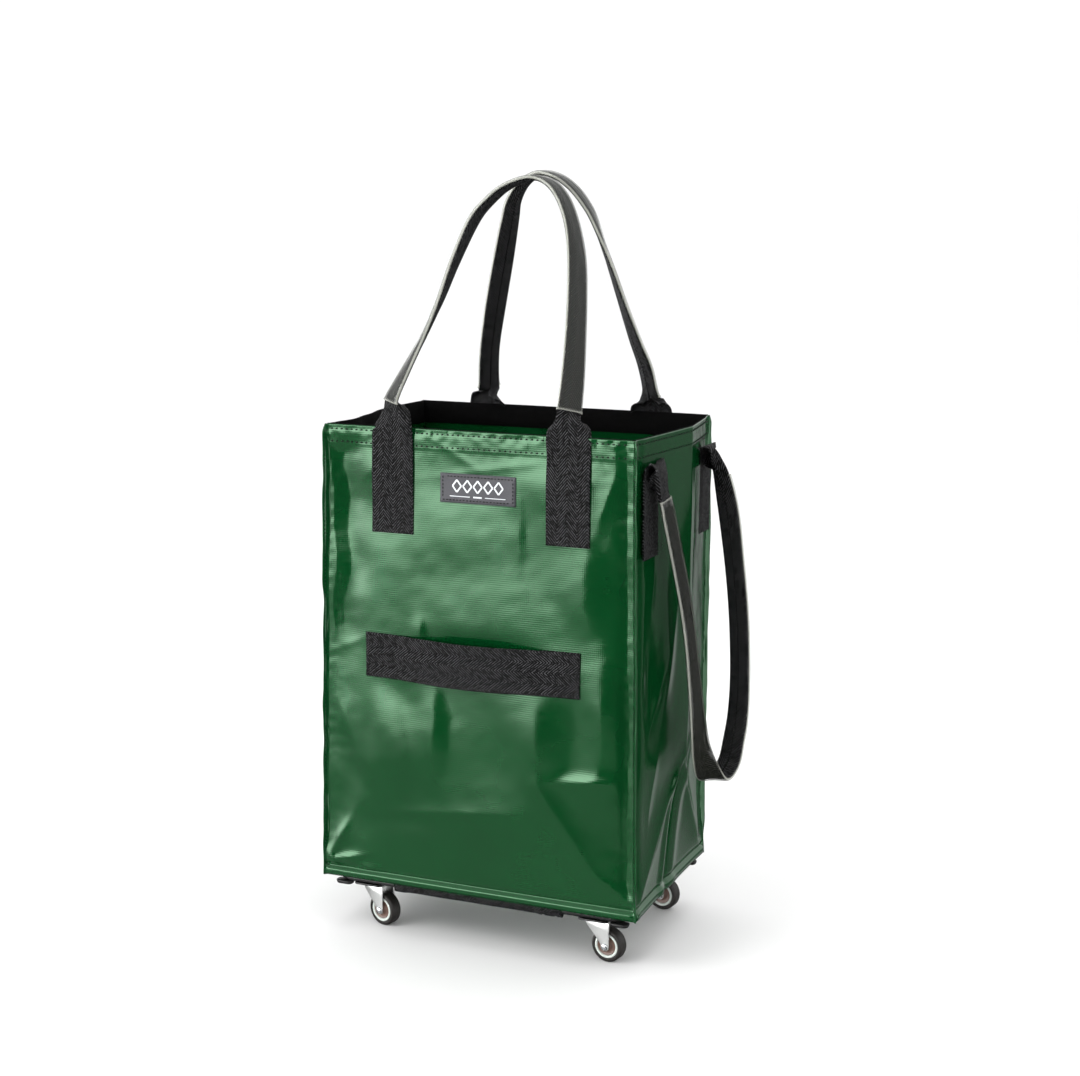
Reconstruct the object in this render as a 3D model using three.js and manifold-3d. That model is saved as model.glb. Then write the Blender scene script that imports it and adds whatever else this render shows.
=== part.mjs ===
// A rolling tote trolley: a tall coated-fabric bag with webbing handles, standing on a
// steel rod frame with four small swivel casters. Units are millimetres, +Z is up and
// the front of the bag faces -Y. The floor is at z = 0, and the origin is on the floor
// under the centre of the whole outline, with the hanging side handle included.
import * as THREE from "three";
import { mergeVertices } from "three/addons/utils/BufferGeometryUtils.js";
import Module from "manifold-3d";

const wasm = await Module();
wasm.setup();

// ---- Driving dimensions ----
const GAP = 0.3; // between touching pieces
const OUTLINE_SHIFT = -40; // puts the origin under the middle of the outline

const BAG_W = 366; // across the front, over the side panels
const BAG_D = 242; // front to back, over the panels
const BAG_FLOOR = 65; // underside of the bottom panel
const RIM = 585; // top edge of the bag
const CLOTH = 2; // thickness of a panel with its seams
const SEAM = 3; // how far a sewn edge stands past the corner
const RIGHT_CREASE = { out: 15, y: 12 }; // how far the right panel stands out, and where
const NO_CREASE = { out: 0, y: 0 };

const WEB_W = 50; // webbing as woven
const WEB_T = 2.2;
const STRAP_W = 26; // webbing folded in half, as it runs in its sleeve
const STRAP_T = 4.4;
const SLEEVE_WALL = 0.8;

const HANDLE_X = 102; // from the centre to each top handle's patch
const PATCH_LENGTH = 94;
const TOP_STITCH_Z = 563; // where a top handle leaves its patch
const SIDE_PATCH_Y = 78;
const SIDE_STITCH_Z = 551;
const GRAB_LENGTH = 258;
const GRAB_Z = 330;
const GRAB_SEWN = 28; // sewn length at each end of a grab strap
const GRAB_BOW = 11; // how far its middle stands off the bag
const FOOT_Z = 565; // foot of a top handle's moving part

const ROD_R = 4; // frame rod
const ROD_Z = 59;
const FRAME_X = 177; // centre of the rod, from the middle
const FRAME_Y = 112;
const FRAME_CORNER = 18;

const CASTER_X = 139; // swivel axes
const CASTER_Y = 87;
const TRAIL = 10; // from the swivel axis to the axle
const WHEEL_R = 19;
const WHEEL_W = 15;
const WHEEL_SEGMENTS = 20;
const TYRE_R = WHEEL_R / Math.cos(Math.PI / WHEEL_SEGMENTS); // its facets touch WHEEL_R

const INNER_W = BAG_W - 2 * CLOTH;
const INNER_D = BAG_D - 2 * CLOTH;

// ---- Materials ----
const paint = (color, roughness, metalness = 0) =>
  new THREE.MeshStandardMaterial({ color, roughness, metalness });
const greenCloth = paint(0x14532b, 0.25);
const blackTape = paint(0x111112, 0.85);
const blackWebbing = paint(0x1c1c1e, 0.9);
const clearVinyl = paint(0x8a8f8c, 0.15);
const patchGrey = paint(0x55555b, 0.6);
const boardBlack = paint(0x151515, 0.6);
const blackSteel = paint(0x0e0e0f, 0.35, 0.6);
const zincSteel = paint(0xb9bcbb, 0.35, 0.9);
const tyreBlack = paint(0x2a2624, 0.7);
const ringGrey = paint(0xc3cac5, 0.5);
const hubBrown = paint(0x6b5146, 0.5);
const blackPlastic = paint(0x101010, 0.5);

// ---- Helpers ----
const scene = new THREE.Group();
const trolley = new THREE.Group();
trolley.position.x = OUTLINE_SHIFT;
scene.add(trolley);

function piece(name, geometry, material, parent = trolley) {
  const mesh = new THREE.Mesh(geometry, material);
  mesh.name = name;
  parent.add(mesh);
  return mesh;
}

// A three.js geometry as a manifold-3d solid, for joining and cutting.
function solid(geometry) {
  const bare = new THREE.BufferGeometry();
  const source = geometry.index ? geometry.toNonIndexed() : geometry;
  bare.setAttribute("position", source.getAttribute("position"));
  const merged = mergeVertices(bare, 1e-3);
  return new wasm.Manifold(
    new wasm.Mesh({
      numProp: 3,
      vertProperties: merged.attributes.position.array,
      triVerts: new Uint32Array(merged.index.array),
    }),
  );
}

function geometryOf(made) {
  const mesh = made.getMesh();
  const geometry = new THREE.BufferGeometry();
  const places = new THREE.BufferAttribute(mesh.vertProperties, 3);
  geometry.setAttribute("position", places);
  geometry.setIndex(new THREE.BufferAttribute(mesh.triVerts, 1));
  geometry.computeVertexNormals();
  return geometry;
}

const box = (w, d, h, x = 0, y = 0, z = 0) =>
  new THREE.BoxGeometry(w, d, h).translate(x, y, z);

// A profile of [radius, height] pairs, turned about the Z axis.
function turned(profile, segments) {
  const points = profile.map(([r, z]) => new THREE.Vector2(r, z));
  return new THREE.LatheGeometry(points, segments).rotateX(Math.PI / 2);
}

// The same, turned about the Y axis with the middle of a facet pointing down.
function turnedAboutY(profile, segments) {
  const points = profile.map(([r, y]) => new THREE.Vector2(r, y));
  return new THREE.LatheGeometry(points, segments).rotateY(Math.PI / segments);
}

function extruded(shape, depth, curveSegments = 6) {
  return new THREE.ExtrudeGeometry(shape, {
    depth,
    bevelEnabled: false,
    curveSegments,
  });
}

function roundedRectangle(w, h, r) {
  const shape = new THREE.Shape();
  shape.moveTo(-w / 2 + r, -h / 2);
  shape.lineTo(w / 2 - r, -h / 2);
  shape.absarc(w / 2 - r, -h / 2 + r, r, -Math.PI / 2, 0);
  shape.lineTo(w / 2, h / 2 - r);
  shape.absarc(w / 2 - r, h / 2 - r, r, 0, Math.PI / 2);
  shape.lineTo(-w / 2 + r, h / 2);
  shape.absarc(-w / 2 + r, h / 2 - r, r, Math.PI / 2, Math.PI);
  shape.lineTo(-w / 2, -h / 2 + r);
  shape.absarc(-w / 2 + r, -h / 2 + r, r, Math.PI, 1.5 * Math.PI);
  return shape;
}

// Moves every vertex of a geometry to where place(x, y, z) says.
function reshaped(geometry, place) {
  const positions = geometry.getAttribute("position");
  const at = new THREE.Vector3();
  for (let i = 0; i < positions.count; i++) {
    at.fromBufferAttribute(positions, i);
    positions.setXYZ(i, ...place(at.x, at.y, at.z));
  }
  return geometry;
}

// ---- The bag's panels ----
// How far a side panel stands out at a place, for its crease.
function creaseOut(crease, y) {
  const reach = BAG_D / 2 - Math.sign(y - crease.y) * crease.y;
  return crease.out * Math.max(0, 1 - Math.abs(y - crease.y) / reach);
}

const panelHeight = RIM - BAG_FLOOR + SEAM;
const panelZ = BAG_FLOOR - SEAM + panelHeight / 2;

function facePanel(name, side) {
  const y = side * (BAG_D / 2 - CLOTH / 2);
  const wide = BAG_W + 2 * SEAM;
  piece(name, box(wide, CLOTH, panelHeight, 0, y, panelZ), greenCloth);
}

function sidePanel(name, side, crease) {
  const deep = INNER_D - 2 * GAP;
  const rows = [BAG_FLOOR - SEAM, RIM];
  const columns = [-deep / 2, crease.y, deep / 2];
  const sheet = new THREE.BoxGeometry(CLOTH, 2, 1, 1, 2, 1);
  reshaped(sheet, (x, column, row) => {
    const y = columns[Math.round(column + 1)];
    const z = rows[Math.round(row + 0.5)];
    const middle = BAG_W / 2 - CLOTH / 2 + creaseOut(crease, y);
    return [side * middle + x, y, z];
  });
  piece(name, sheet, greenCloth);
}

// The inside of the bag seen from above, whose right side is creased.
function insideOutline(inset) {
  const x = INNER_W / 2 - inset;
  const y = INNER_D / 2 - inset;
  return [
    [-x, -y],
    [x, -y],
    [x + RIGHT_CREASE.out, RIGHT_CREASE.y],
    [x, y],
    [-x, y],
  ].map(([px, py]) => new THREE.Vector2(px, py));
}

function bottomPanel() {
  const outline = new THREE.Shape(insideOutline(GAP));
  const sheet = extruded(outline, CLOTH).translate(0, 0, BAG_FLOOR);
  piece("bottom_panel", sheet, greenCloth);
}

function baseBoard() {
  const thick = 3;
  const z = BAG_FLOOR + CLOTH + GAP;
  const board = extruded(
    roundedRectangle(INNER_W - 8, INNER_D - 8, 10),
    thick,
    3,
  ).translate(0, 0, z);
  piece("base_board", board, boardBlack);
}

// The tape sewn round the inside of the rim, which follows the creased side.
function rimTape() {
  const tapeWidth = 24;
  const tapeThick = 1;
  const ring = new THREE.Shape(insideOutline(2 * GAP));
  ring.holes.push(new THREE.Path(insideOutline(2 * GAP + tapeThick)));
  const tape = extruded(ring, tapeWidth).translate(0, 0, RIM - 1 - tapeWidth);
  piece("rim_tape", tape, blackTape);
}

function labelPatch() {
  const label = extruded(roundedRectangle(90, 32, 1.5), 1.4, 2);
  label.rotateX(Math.PI / 2);
  label.translate(8, -BAG_D / 2 - GAP, 523);
  piece("label_patch", label, patchGrey);
}

// A strap sewn flat at both ends, whose middle bows out to take a hand.
function grabStrap(name, side) {
  const steps = 24;
  const strip = new THREE.BoxGeometry(GRAB_LENGTH, WEB_T, WEB_W, steps, 1, 1);
  const free = GRAB_LENGTH / 2 - GRAB_SEWN;
  reshaped(strip, (x, y, z) => {
    const along = Math.min(1, Math.abs(x) / free);
    const bow = GRAB_BOW * Math.cos((along * Math.PI) / 2) ** 2;
    const stand = BAG_D / 2 + GAP + WEB_T / 2 + bow;
    return [x, side * stand + y, GRAB_Z + z];
  });
  piece(name, strip, blackWebbing);
}

// ---- Handles ----
function topPatch(name, side, x) {
  const y = side * (BAG_D / 2 + GAP + WEB_T / 2);
  const z = TOP_STITCH_Z - GAP - PATCH_LENGTH / 2;
  piece(name, box(WEB_W, WEB_T, PATCH_LENGTH, x, y, z), blackWebbing);
}

// A patch on one half of the creased right panel, lying along that half.
function sidePatch(name, y) {
  const before = y < RIGHT_CREASE.y ? 1 : -1;
  const reach = BAG_D / 2 + before * RIGHT_CREASE.y;
  const slope = (before * RIGHT_CREASE.out) / reach;
  const patch = box(WEB_T, WEB_W, PATCH_LENGTH, GAP + WEB_T / 2, 0, 0);
  const mesh = piece(name, patch, blackWebbing);
  mesh.rotation.z = -Math.atan(slope);
  const x = BAG_W / 2 + creaseOut(RIGHT_CREASE, y);
  mesh.position.set(x, y, SIDE_STITCH_Z - GAP - PATCH_LENGTH / 2);
}

// A handle's path: places along its middle, and at each one the azimuth in degrees
// that the webbing's width points in.
function handlePath(stations) {
  const curve = new THREE.CatmullRomCurve3(
    stations.map(([x, y, z]) => new THREE.Vector3(x, y, z)),
    false,
    "centripetal",
  );
  const turns = stations.map((station) => station[3]);
  return (share) => {
    const t = share * (stations.length - 1);
    const i = Math.min(stations.length - 2, Math.floor(t));
    const turn = THREE.MathUtils.degToRad(
      THREE.MathUtils.lerp(turns[i], turns[i + 1], t - i),
    );
    const along = curve.getTangent(share);
    const across = new THREE.Vector3(Math.cos(turn), Math.sin(turn), 0);
    across.addScaledVector(along, -across.dot(along)).normalize();
    const through = new THREE.Vector3().crossVectors(along, across);
    return { at: curve.getPoint(share), across, through };
  };
}

// A handle's folded webbing laid on its path, wider at its feet. The margin is added
// all round, and bare is how many of its steps are left off at each end.
function ribbon(path, margin = 0, bare = 0) {
  const whole = 32;
  const steps = whole - 2 * bare;
  const strip = new THREE.BoxGeometry(1, 1, steps, 1, 1, steps);
  return reshaped(strip, (x, y, z) => {
    const step = z + whole / 2;
    const narrow = Math.min(1, step / 2, (whole - step) / 2);
    const wide = THREE.MathUtils.lerp(WEB_W - 10, STRAP_W, narrow) + 2 * margin;
    const thick = THREE.MathUtils.lerp(WEB_T, STRAP_T, narrow) + 2 * margin;
    const { at, across, through } = path(step / whole);
    return at
      .addScaledVector(across, x * wide)
      .addScaledVector(through, y * thick)
      .toArray();
  });
}

// The webbing of a handle and the open-ended sleeve over it.
function handle(name, stations, bare) {
  const path = handlePath(stations);
  const room = 0.4;
  const skin = solid(ribbon(path, room + SLEEVE_WALL, bare));
  const bore = solid(ribbon(path, room, bare - 1));
  piece(`${name}_webbing`, ribbon(path), blackWebbing);
  piece(`${name}_sleeve`, geometryOf(skin.subtract(bore)), clearVinyl);
}

function topHandles() {
  const outside = BAG_D / 2 + GAP + WEB_T / 2;
  const overRim = outside + 4;
  topPatch("front_handle_left_patch", -1, -HANDLE_X);
  topPatch("front_handle_right_patch", -1, HANDLE_X);
  handle(
    "front_handle",
    [
      [-HANDLE_X, -outside, FOOT_Z, 0],
      [-HANDLE_X, -overRim, RIM + 3, -12],
      [-99, -112, 624, -50],
      [-82, -78, 690, -76],
      [-60, -48, 757, -86],
      [-30, -26, 818, -90],
      [12, -17, 853, -90],
      [58, -23, 826, -96],
      [82, -45, 762, -108],
      [95, -76, 694, -118],
      [103, -110, 626, -138],
      [HANDLE_X, -overRim, RIM + 3, -172],
      [HANDLE_X, -outside, FOOT_Z, -180],
    ],
    4,
  );
  topPatch("rear_handle_left_patch", 1, -HANDLE_X);
  topPatch("rear_handle_right_patch", 1, HANDLE_X);
  handle(
    "rear_handle",
    [
      [-HANDLE_X, outside, FOOT_Z, -180],
      [-HANDLE_X, overRim, RIM + 3, -174],
      [-91, 112, 624, -140],
      [-68, 78, 690, -118],
      [-44, 48, 760, -106],
      [-14, 26, 822, -96],
      [28, 17, 857, -90],
      [67, 23, 832, -86],
      [88, 46, 766, -70],
      [101, 78, 694, -36],
      [106, 112, 624, -12],
      [HANDLE_X, overRim, RIM + 3, -3],
      [HANDLE_X, outside, FOOT_Z, 0],
    ],
    4,
  );
}

function sideHandle() {
  const outside = BAG_W / 2 + 15; // clear of both patches
  const foot = SIDE_STITCH_Z - 2;
  sidePatch("side_handle_front_patch", -SIDE_PATCH_Y);
  sidePatch("side_handle_rear_patch", SIDE_PATCH_Y);
  handle(
    "side_handle",
    [
      [outside, -SIDE_PATCH_Y, foot, 90],
      [outside + 5, -SIDE_PATCH_Y, 522, 82],
      [outside + 13, -75, 470, 74],
      [outside + 23, -67, 400, 66],
      [outside + 31, -52, 320, 52],
      [outside + 37, -32, 243, 30],
      [outside + 40, 4, 197, 0],
      [outside + 51, 36, 243, -12],
      [outside + 54, 56, 320, -16],
      [outside + 48, 69, 400, -20],
      [outside + 34, 77, 470, -32],
      [outside + 13, SIDE_PATCH_Y + 1, 522, -58],
      [outside, SIDE_PATCH_Y, foot, -90],
    ],
    3,
  );
}

// ---- The frame under the bag ----
// A rod bent into a rounded rectangle: a ring pulled apart into its four corners.
function frameLoop() {
  const around = 16;
  const ring = new THREE.TorusGeometry(FRAME_CORNER, ROD_R, 10, around);
  ring.rotateZ(Math.PI / around);
  reshaped(ring, (x, y, z) => [
    x + Math.sign(x) * (FRAME_X - FRAME_CORNER),
    y + Math.sign(y) * (FRAME_Y - FRAME_CORNER),
    z + ROD_Z,
  ]);
  piece("frame_loop", ring, blackSteel);
}

function crossBar(name, x) {
  const length = 2 * (FRAME_Y - ROD_R - 2 * GAP);
  const bar = new THREE.CylinderGeometry(ROD_R, ROD_R, length, 10);
  piece(name, bar.translate(x, 0, ROD_Z), blackSteel);
}

// Webbing that wraps a long side of the frame and is sewn to the bag's bottom.
function frameSleeve(name, side) {
  const length = 206;
  const room = ROD_R + 0.5;
  const wall = 1.8;
  const top = BAG_FLOOR - GAP - ROD_Z;
  const section = new THREE.Shape();
  section.moveTo(-room - wall, top);
  section.lineTo(-room - wall, -room - wall);
  section.lineTo(room + wall, -room - wall);
  section.lineTo(room + wall, top);
  section.lineTo(room, top);
  section.lineTo(room, -room);
  section.lineTo(-room, -room);
  section.lineTo(-room, top);
  const wrap = extruded(section, length);
  wrap.rotateX(Math.PI / 2).rotateZ(Math.PI / 2);
  wrap.translate(-length / 2, side * FRAME_Y, ROD_Z);
  piece(name, wrap, blackWebbing);
}

// A plastic pad under each corner of the loop.
function cornerPad(name, sx, sy) {
  const high = 4.2;
  const pad = extruded(roundedRectangle(22, 13, 5), high, 3);
  const z = ROD_Z - ROD_R - GAP - high;
  pad.translate(sx * (FRAME_X - 7), sy * (FRAME_Y - 2), z);
  piece(name, pad, blackPlastic);
}

// ---- Casters ----
const PLATE_TOP = ROD_Z - ROD_R - GAP;
const PLATE_T = 2.2;
const RACE_H = 3;
const CROWN_TOP = PLATE_TOP - PLATE_T - RACE_H - GAP;
const SHEET = 1.8; // fork sheet
const PIN_R = 4;
const HOLE_PLAY = 0.4;
const AXLE_R = 2.5;
const FORK_INSIDE = WHEEL_W / 2 + 1.3;

function pinHole() {
  const hole = new THREE.CylinderGeometry(
    PIN_R + HOLE_PLAY,
    PIN_R + HOLE_PLAY,
    40,
    12,
  );
  return hole.rotateX(Math.PI / 2).translate(0, 0, CROWN_TOP);
}

function plateAndRace(sy) {
  const plate = extruded(roundedRectangle(36, 50, 4), PLATE_T, 1);
  plate.translate(0, sy * 3, PLATE_TOP - PLATE_T);
  const race = turned(
    [
      [0, PLATE_TOP - PLATE_T - RACE_H],
      [10, PLATE_TOP - PLATE_T - RACE_H],
      [12, PLATE_TOP - PLATE_T + 0.5],
      [0, PLATE_TOP - PLATE_T + 0.5],
    ],
    16,
  );
  return geometryOf(
    solid(plate).add(solid(race)).subtract(solid(pinHole())),
  );
}

function kingPin() {
  const head = CROWN_TOP - SHEET - GAP;
  return turned(
    [
      [0, head - 2.2],
      [5, head - 2.2],
      [6.5, head - 0.6],
      [6.5, head],
      [PIN_R, head],
      [PIN_R, PLATE_TOP - GAP],
      [0, PLATE_TOP - GAP],
    ],
    12,
  );
}

// Two legs and a crown bent from one sheet. Each leg runs straight down behind to the
// axle's eye, which is TRAIL from the swivel axis, and sweeps in to it in front.
function fork() {
  const eyeR = 5;
  const end = 15; // of the crown, either side of the swivel axis
  const leg = new THREE.Shape();
  leg.moveTo(-end, CROWN_TOP - 1);
  leg.lineTo(-end + 1.5, CROWN_TOP - 7);
  leg.quadraticCurveTo(-end + 5, CROWN_TOP - 16, TRAIL - eyeR, WHEEL_R + 1);
  leg.absarc(TRAIL, WHEEL_R, eyeR, Math.PI, 2 * Math.PI);
  leg.lineTo(end, CROWN_TOP - 1);
  const eye = new THREE.Path();
  eye.absarc(TRAIL, WHEEL_R, AXLE_R + HOLE_PLAY, 0, 2 * Math.PI);
  leg.holes.push(eye);
  const sheet = (y) =>
    solid(extruded(leg, SHEET, 4).rotateX(Math.PI / 2).translate(0, y, 0));
  const across = 2 * (FORK_INSIDE + SHEET);
  const crown = box(2 * end, across, SHEET, 0, 0, CROWN_TOP - SHEET / 2);
  return geometryOf(
    solid(crown)
      .add(sheet(-FORK_INSIDE))
      .add(sheet(FORK_INSIDE + SHEET))
      .subtract(solid(pinHole())),
  );
}

function axle() {
  const inside = FORK_INSIDE + SHEET + GAP;
  const headR = 4;
  return turnedAboutY(
    [
      [0, -inside - 2],
      [headR - 1.6, -inside - 1.7],
      [headR, -inside],
      [AXLE_R, -inside],
      [AXLE_R, inside],
      [headR, inside],
      [headR - 1.6, inside + 1.7],
      [0, inside + 2],
    ],
    12,
  );
}

const TYRE_BORE = 14.3;
const CORE_BORE = 11.2;

function tyre() {
  const w = WHEEL_W / 2;
  return turnedAboutY(
    [
      [TYRE_BORE, -w + 1],
      [TYRE_R - 2.6, -w],
      [TYRE_R - 0.7, -w + 2],
      [TYRE_R, -w + 4.5],
      [TYRE_R, w - 4.5],
      [TYRE_R - 0.7, w - 2],
      [TYRE_R - 2.6, w],
      [TYRE_BORE, w - 1],
      [TYRE_BORE, -w + 1],
    ],
    WHEEL_SEGMENTS,
  );
}

function wheelCore() {
  const w = WHEEL_W / 2 - 0.6;
  const r = TYRE_BORE - GAP;
  return turnedAboutY(
    [
      [CORE_BORE, -w],
      [r, -w],
      [r, w],
      [CORE_BORE, w],
      [CORE_BORE, -w],
    ],
    WHEEL_SEGMENTS,
  );
}

function hub() {
  const w = WHEEL_W / 2;
  const r = CORE_BORE - GAP;
  const bore = AXLE_R + HOLE_PLAY;
  return turnedAboutY(
    [
      [bore, -w - 0.4],
      [6, -w - 0.4],
      [7, -w + 1.4],
      [r, -w + 1.4],
      [r, w - 1.4],
      [7, w - 1.4],
      [6, w + 0.4],
      [bore, w + 0.4],
      [bore, -w - 0.4],
    ],
    WHEEL_SEGMENTS,
  );
}

// turn is how far the fork is swivelled at rest, in degrees.
function caster(name, sx, sy, turn) {
  const place = new THREE.Group();
  place.position.set(sx * CASTER_X, sy * CASTER_Y, 0);
  trolley.add(place);
  piece(`${name}_plate`, plateAndRace(sy), blackSteel, place);
  const swivel = new THREE.Group();
  swivel.rotation.z = THREE.MathUtils.degToRad(turn);
  place.add(swivel);
  piece(`${name}_king_pin`, kingPin(), zincSteel, swivel);
  piece(`${name}_fork`, fork(), zincSteel, swivel);
  const wheel = new THREE.Group();
  wheel.position.set(TRAIL, 0, WHEEL_R);
  swivel.add(wheel);
  piece(`${name}_axle`, axle(), zincSteel, wheel);
  piece(`${name}_tyre`, tyre(), tyreBlack, wheel);
  piece(`${name}_wheel_core`, wheelCore(), ringGrey, wheel);
  piece(`${name}_hub`, hub(), hubBrown, wheel);
}

// ---- Assembly ----
facePanel("front_panel", -1);
facePanel("rear_panel", 1);
sidePanel("left_panel", -1, NO_CREASE);
sidePanel("right_panel", 1, RIGHT_CREASE);
bottomPanel();
baseBoard();
rimTape();
labelPatch();
grabStrap("front_grab_strap", -1);
grabStrap("rear_grab_strap", 1);
topHandles();
sideHandle();
frameLoop();
crossBar("frame_left_bar", -CASTER_X);
crossBar("frame_right_bar", CASTER_X);
frameSleeve("front_frame_sleeve", -1);
frameSleeve("rear_frame_sleeve", 1);
for (const [corner, sx, sy, turn] of [
  ["front_left", -1, -1, -16],
  ["front_right", 1, -1, -7],
  ["rear_left", -1, 1, -11],
  ["rear_right", 1, 1, -7],
]) {
  cornerPad(`${corner}_corner_pad`, sx, sy);
  caster(`${corner}_caster`, sx, sy, turn);
}

export default scene;
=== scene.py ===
import math

import bmesh
import bpy
import numpy as np
from mathutils import Matrix, Vector

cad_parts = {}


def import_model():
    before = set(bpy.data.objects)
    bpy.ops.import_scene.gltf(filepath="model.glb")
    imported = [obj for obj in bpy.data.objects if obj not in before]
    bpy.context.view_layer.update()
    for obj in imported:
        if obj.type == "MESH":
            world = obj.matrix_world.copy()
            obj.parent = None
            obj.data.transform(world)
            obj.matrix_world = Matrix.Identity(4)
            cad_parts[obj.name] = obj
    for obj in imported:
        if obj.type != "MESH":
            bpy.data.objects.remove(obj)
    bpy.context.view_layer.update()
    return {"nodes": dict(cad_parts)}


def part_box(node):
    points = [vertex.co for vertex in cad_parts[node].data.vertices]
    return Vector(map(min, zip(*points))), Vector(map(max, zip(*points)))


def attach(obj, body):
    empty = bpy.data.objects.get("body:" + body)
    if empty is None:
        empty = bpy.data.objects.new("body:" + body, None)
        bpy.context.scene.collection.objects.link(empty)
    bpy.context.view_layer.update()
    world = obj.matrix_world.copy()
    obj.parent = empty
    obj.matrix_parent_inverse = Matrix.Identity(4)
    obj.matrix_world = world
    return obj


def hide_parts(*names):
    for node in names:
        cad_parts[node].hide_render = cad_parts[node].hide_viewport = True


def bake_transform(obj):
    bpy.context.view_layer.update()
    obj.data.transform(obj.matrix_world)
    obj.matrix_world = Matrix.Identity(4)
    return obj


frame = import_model()

MM = 0.001
TAU = 2 * math.pi
CORNERS = ("front_left", "front_right", "rear_left", "rear_right")

# ---- Places taken from the frame, in millimetres from the middle of the bag ----
front_lo, front_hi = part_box("front_panel")
XC = (front_lo[0] + front_hi[0]) / 2  # the bag's middle in the frame, in metres


def box_mm(node):
    """The low and the high corner of a node's box."""
    return [((p[0] - XC) / MM, p[1] / MM, p[2] / MM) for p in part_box(node)]


front_lo, front_hi = box_mm("front_panel")
FLOOR_Z, RIM_Z = front_lo[2], front_hi[2]
HALF_D = box_mm("rear_panel")[1][1] - 0.6
HALF_W = front_hi[0] - 3.6
patch_lo, patch_hi = box_mm("front_handle_left_patch")
PATCH_LOW, PATCH_TOP = patch_lo[2], patch_hi[2]
side_lo, side_hi = box_mm("side_handle_front_patch")
SIDE_PATCH_Y = -(side_lo[1] + side_hi[1]) / 2
SIDE_PATCH_LOW, SIDE_PATCH_TOP = side_lo[2], side_hi[2]
grab_lo, grab_hi = box_mm("front_grab_strap")
GRAB_HALF = (grab_hi[0] - grab_lo[0]) / 2
GRAB_Z = (grab_lo[2] + grab_hi[2]) / 2
GRAB_SEWN = 28  # sewn flat at each end of the grab strap
GRAB_BOW = 9
WEB_W = 50
WEB_T = 1.7
CLOTH_T = 0.9
FOLDED_W = 25.5
PATCHES_X = (-94.5, 113.5)  # where the top handles are sewn on
SIDE_PATCHES_Y = (-84.0, SIDE_PATCH_Y)


def world(p):
    """Millimetres from the bag's middle to metres in the frame."""
    return Vector((XC + p[0] * MM, p[1] * MM, p[2] * MM))


def keep(piece, body, slot, *nodes):
    """The body a piece rides on, its material slot, which is not used, and the nodes it stands for."""
    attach(piece, body)
    if nodes:
        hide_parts(*nodes)
    return piece


# ---- Nodes ----
class Graph:
    """Short ways to write a node tree."""

    def __init__(self, tree):
        self.tree = tree
        tree.nodes.clear()

    def add(self, kind, **settings):
        node = self.tree.nodes.new(kind)
        for key, value in settings.items():
            setattr(node, key, value)
        return node

    def put(self, value, socket):
        if isinstance(value, bpy.types.NodeSocket):
            self.tree.links.new(value, socket)
        elif value is not None:
            socket.default_value = value

    def math(self, operation, *values):
        node = self.add("ShaderNodeMath", operation=operation)
        for value, socket in zip(values, node.inputs):
            self.put(value, socket)
        return node.outputs[0]

    def step(self, value, low, high, out_low=0.0, out_high=1.0):
        node = self.add("ShaderNodeMapRange", interpolation_type="SMOOTHSTEP")
        for given, name in zip(
            (value, low, high, out_low, out_high),
            ("Value", "From Min", "From Max", "To Min", "To Max"),
        ):
            self.put(given, node.inputs[name])
        return node.outputs["Result"]

    def mix(self, share, a, b):
        node = self.add("ShaderNodeMix", data_type="RGBA")
        self.put(share, node.inputs[0])
        self.put(a, node.inputs[6])
        self.put(b, node.inputs[7])
        return node.outputs[2]

    def noise(self, vector, scale, detail=2.0, roughness=0.5):
        node = self.add("ShaderNodeTexNoise")
        self.put(vector, node.inputs["Vector"])
        node.inputs["Scale"].default_value = scale
        node.inputs["Detail"].default_value = detail
        node.inputs["Roughness"].default_value = roughness
        return node.outputs["Fac"]

    def stretched(self, vector, scale):
        node = self.add("ShaderNodeMapping")
        self.put(vector, node.inputs["Vector"])
        node.inputs["Scale"].default_value = scale
        return node.outputs["Vector"]

    def bump(self, height, distance, normal=None):
        node = self.add("ShaderNodeBump")
        self.put(height, node.inputs["Height"])
        node.inputs["Distance"].default_value = distance
        self.put(normal, node.inputs["Normal"])
        return node.outputs["Normal"]

    def uv(self):
        node = self.add("ShaderNodeSeparateXYZ")
        coordinates = self.add("ShaderNodeTexCoord")
        self.tree.links.new(coordinates.outputs["UV"], node.inputs[0])
        return coordinates.outputs["UV"], node.outputs["X"], node.outputs["Y"]

    def place(self):
        return self.add("ShaderNodeTexCoord").outputs["Object"]

    def surface(self, color, roughness, normal=None, **sockets):
        shader = self.add("ShaderNodeBsdfPrincipled")
        output = self.add("ShaderNodeOutputMaterial")
        self.tree.links.new(shader.outputs[0], output.inputs["Surface"])
        self.put(color, shader.inputs["Base Color"])
        self.put(roughness, shader.inputs["Roughness"])
        self.put(normal, shader.inputs["Normal"])
        for name, value in sockets.items():
            self.put(value, shader.inputs[name.replace("_", " ")])
        return shader


def rgba(r, g, b):
    return (r, g, b, 1.0)


def new_material(name):
    material = bpy.data.materials.new(name)
    material.use_nodes = True
    return material, Graph(material.node_tree)


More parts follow.
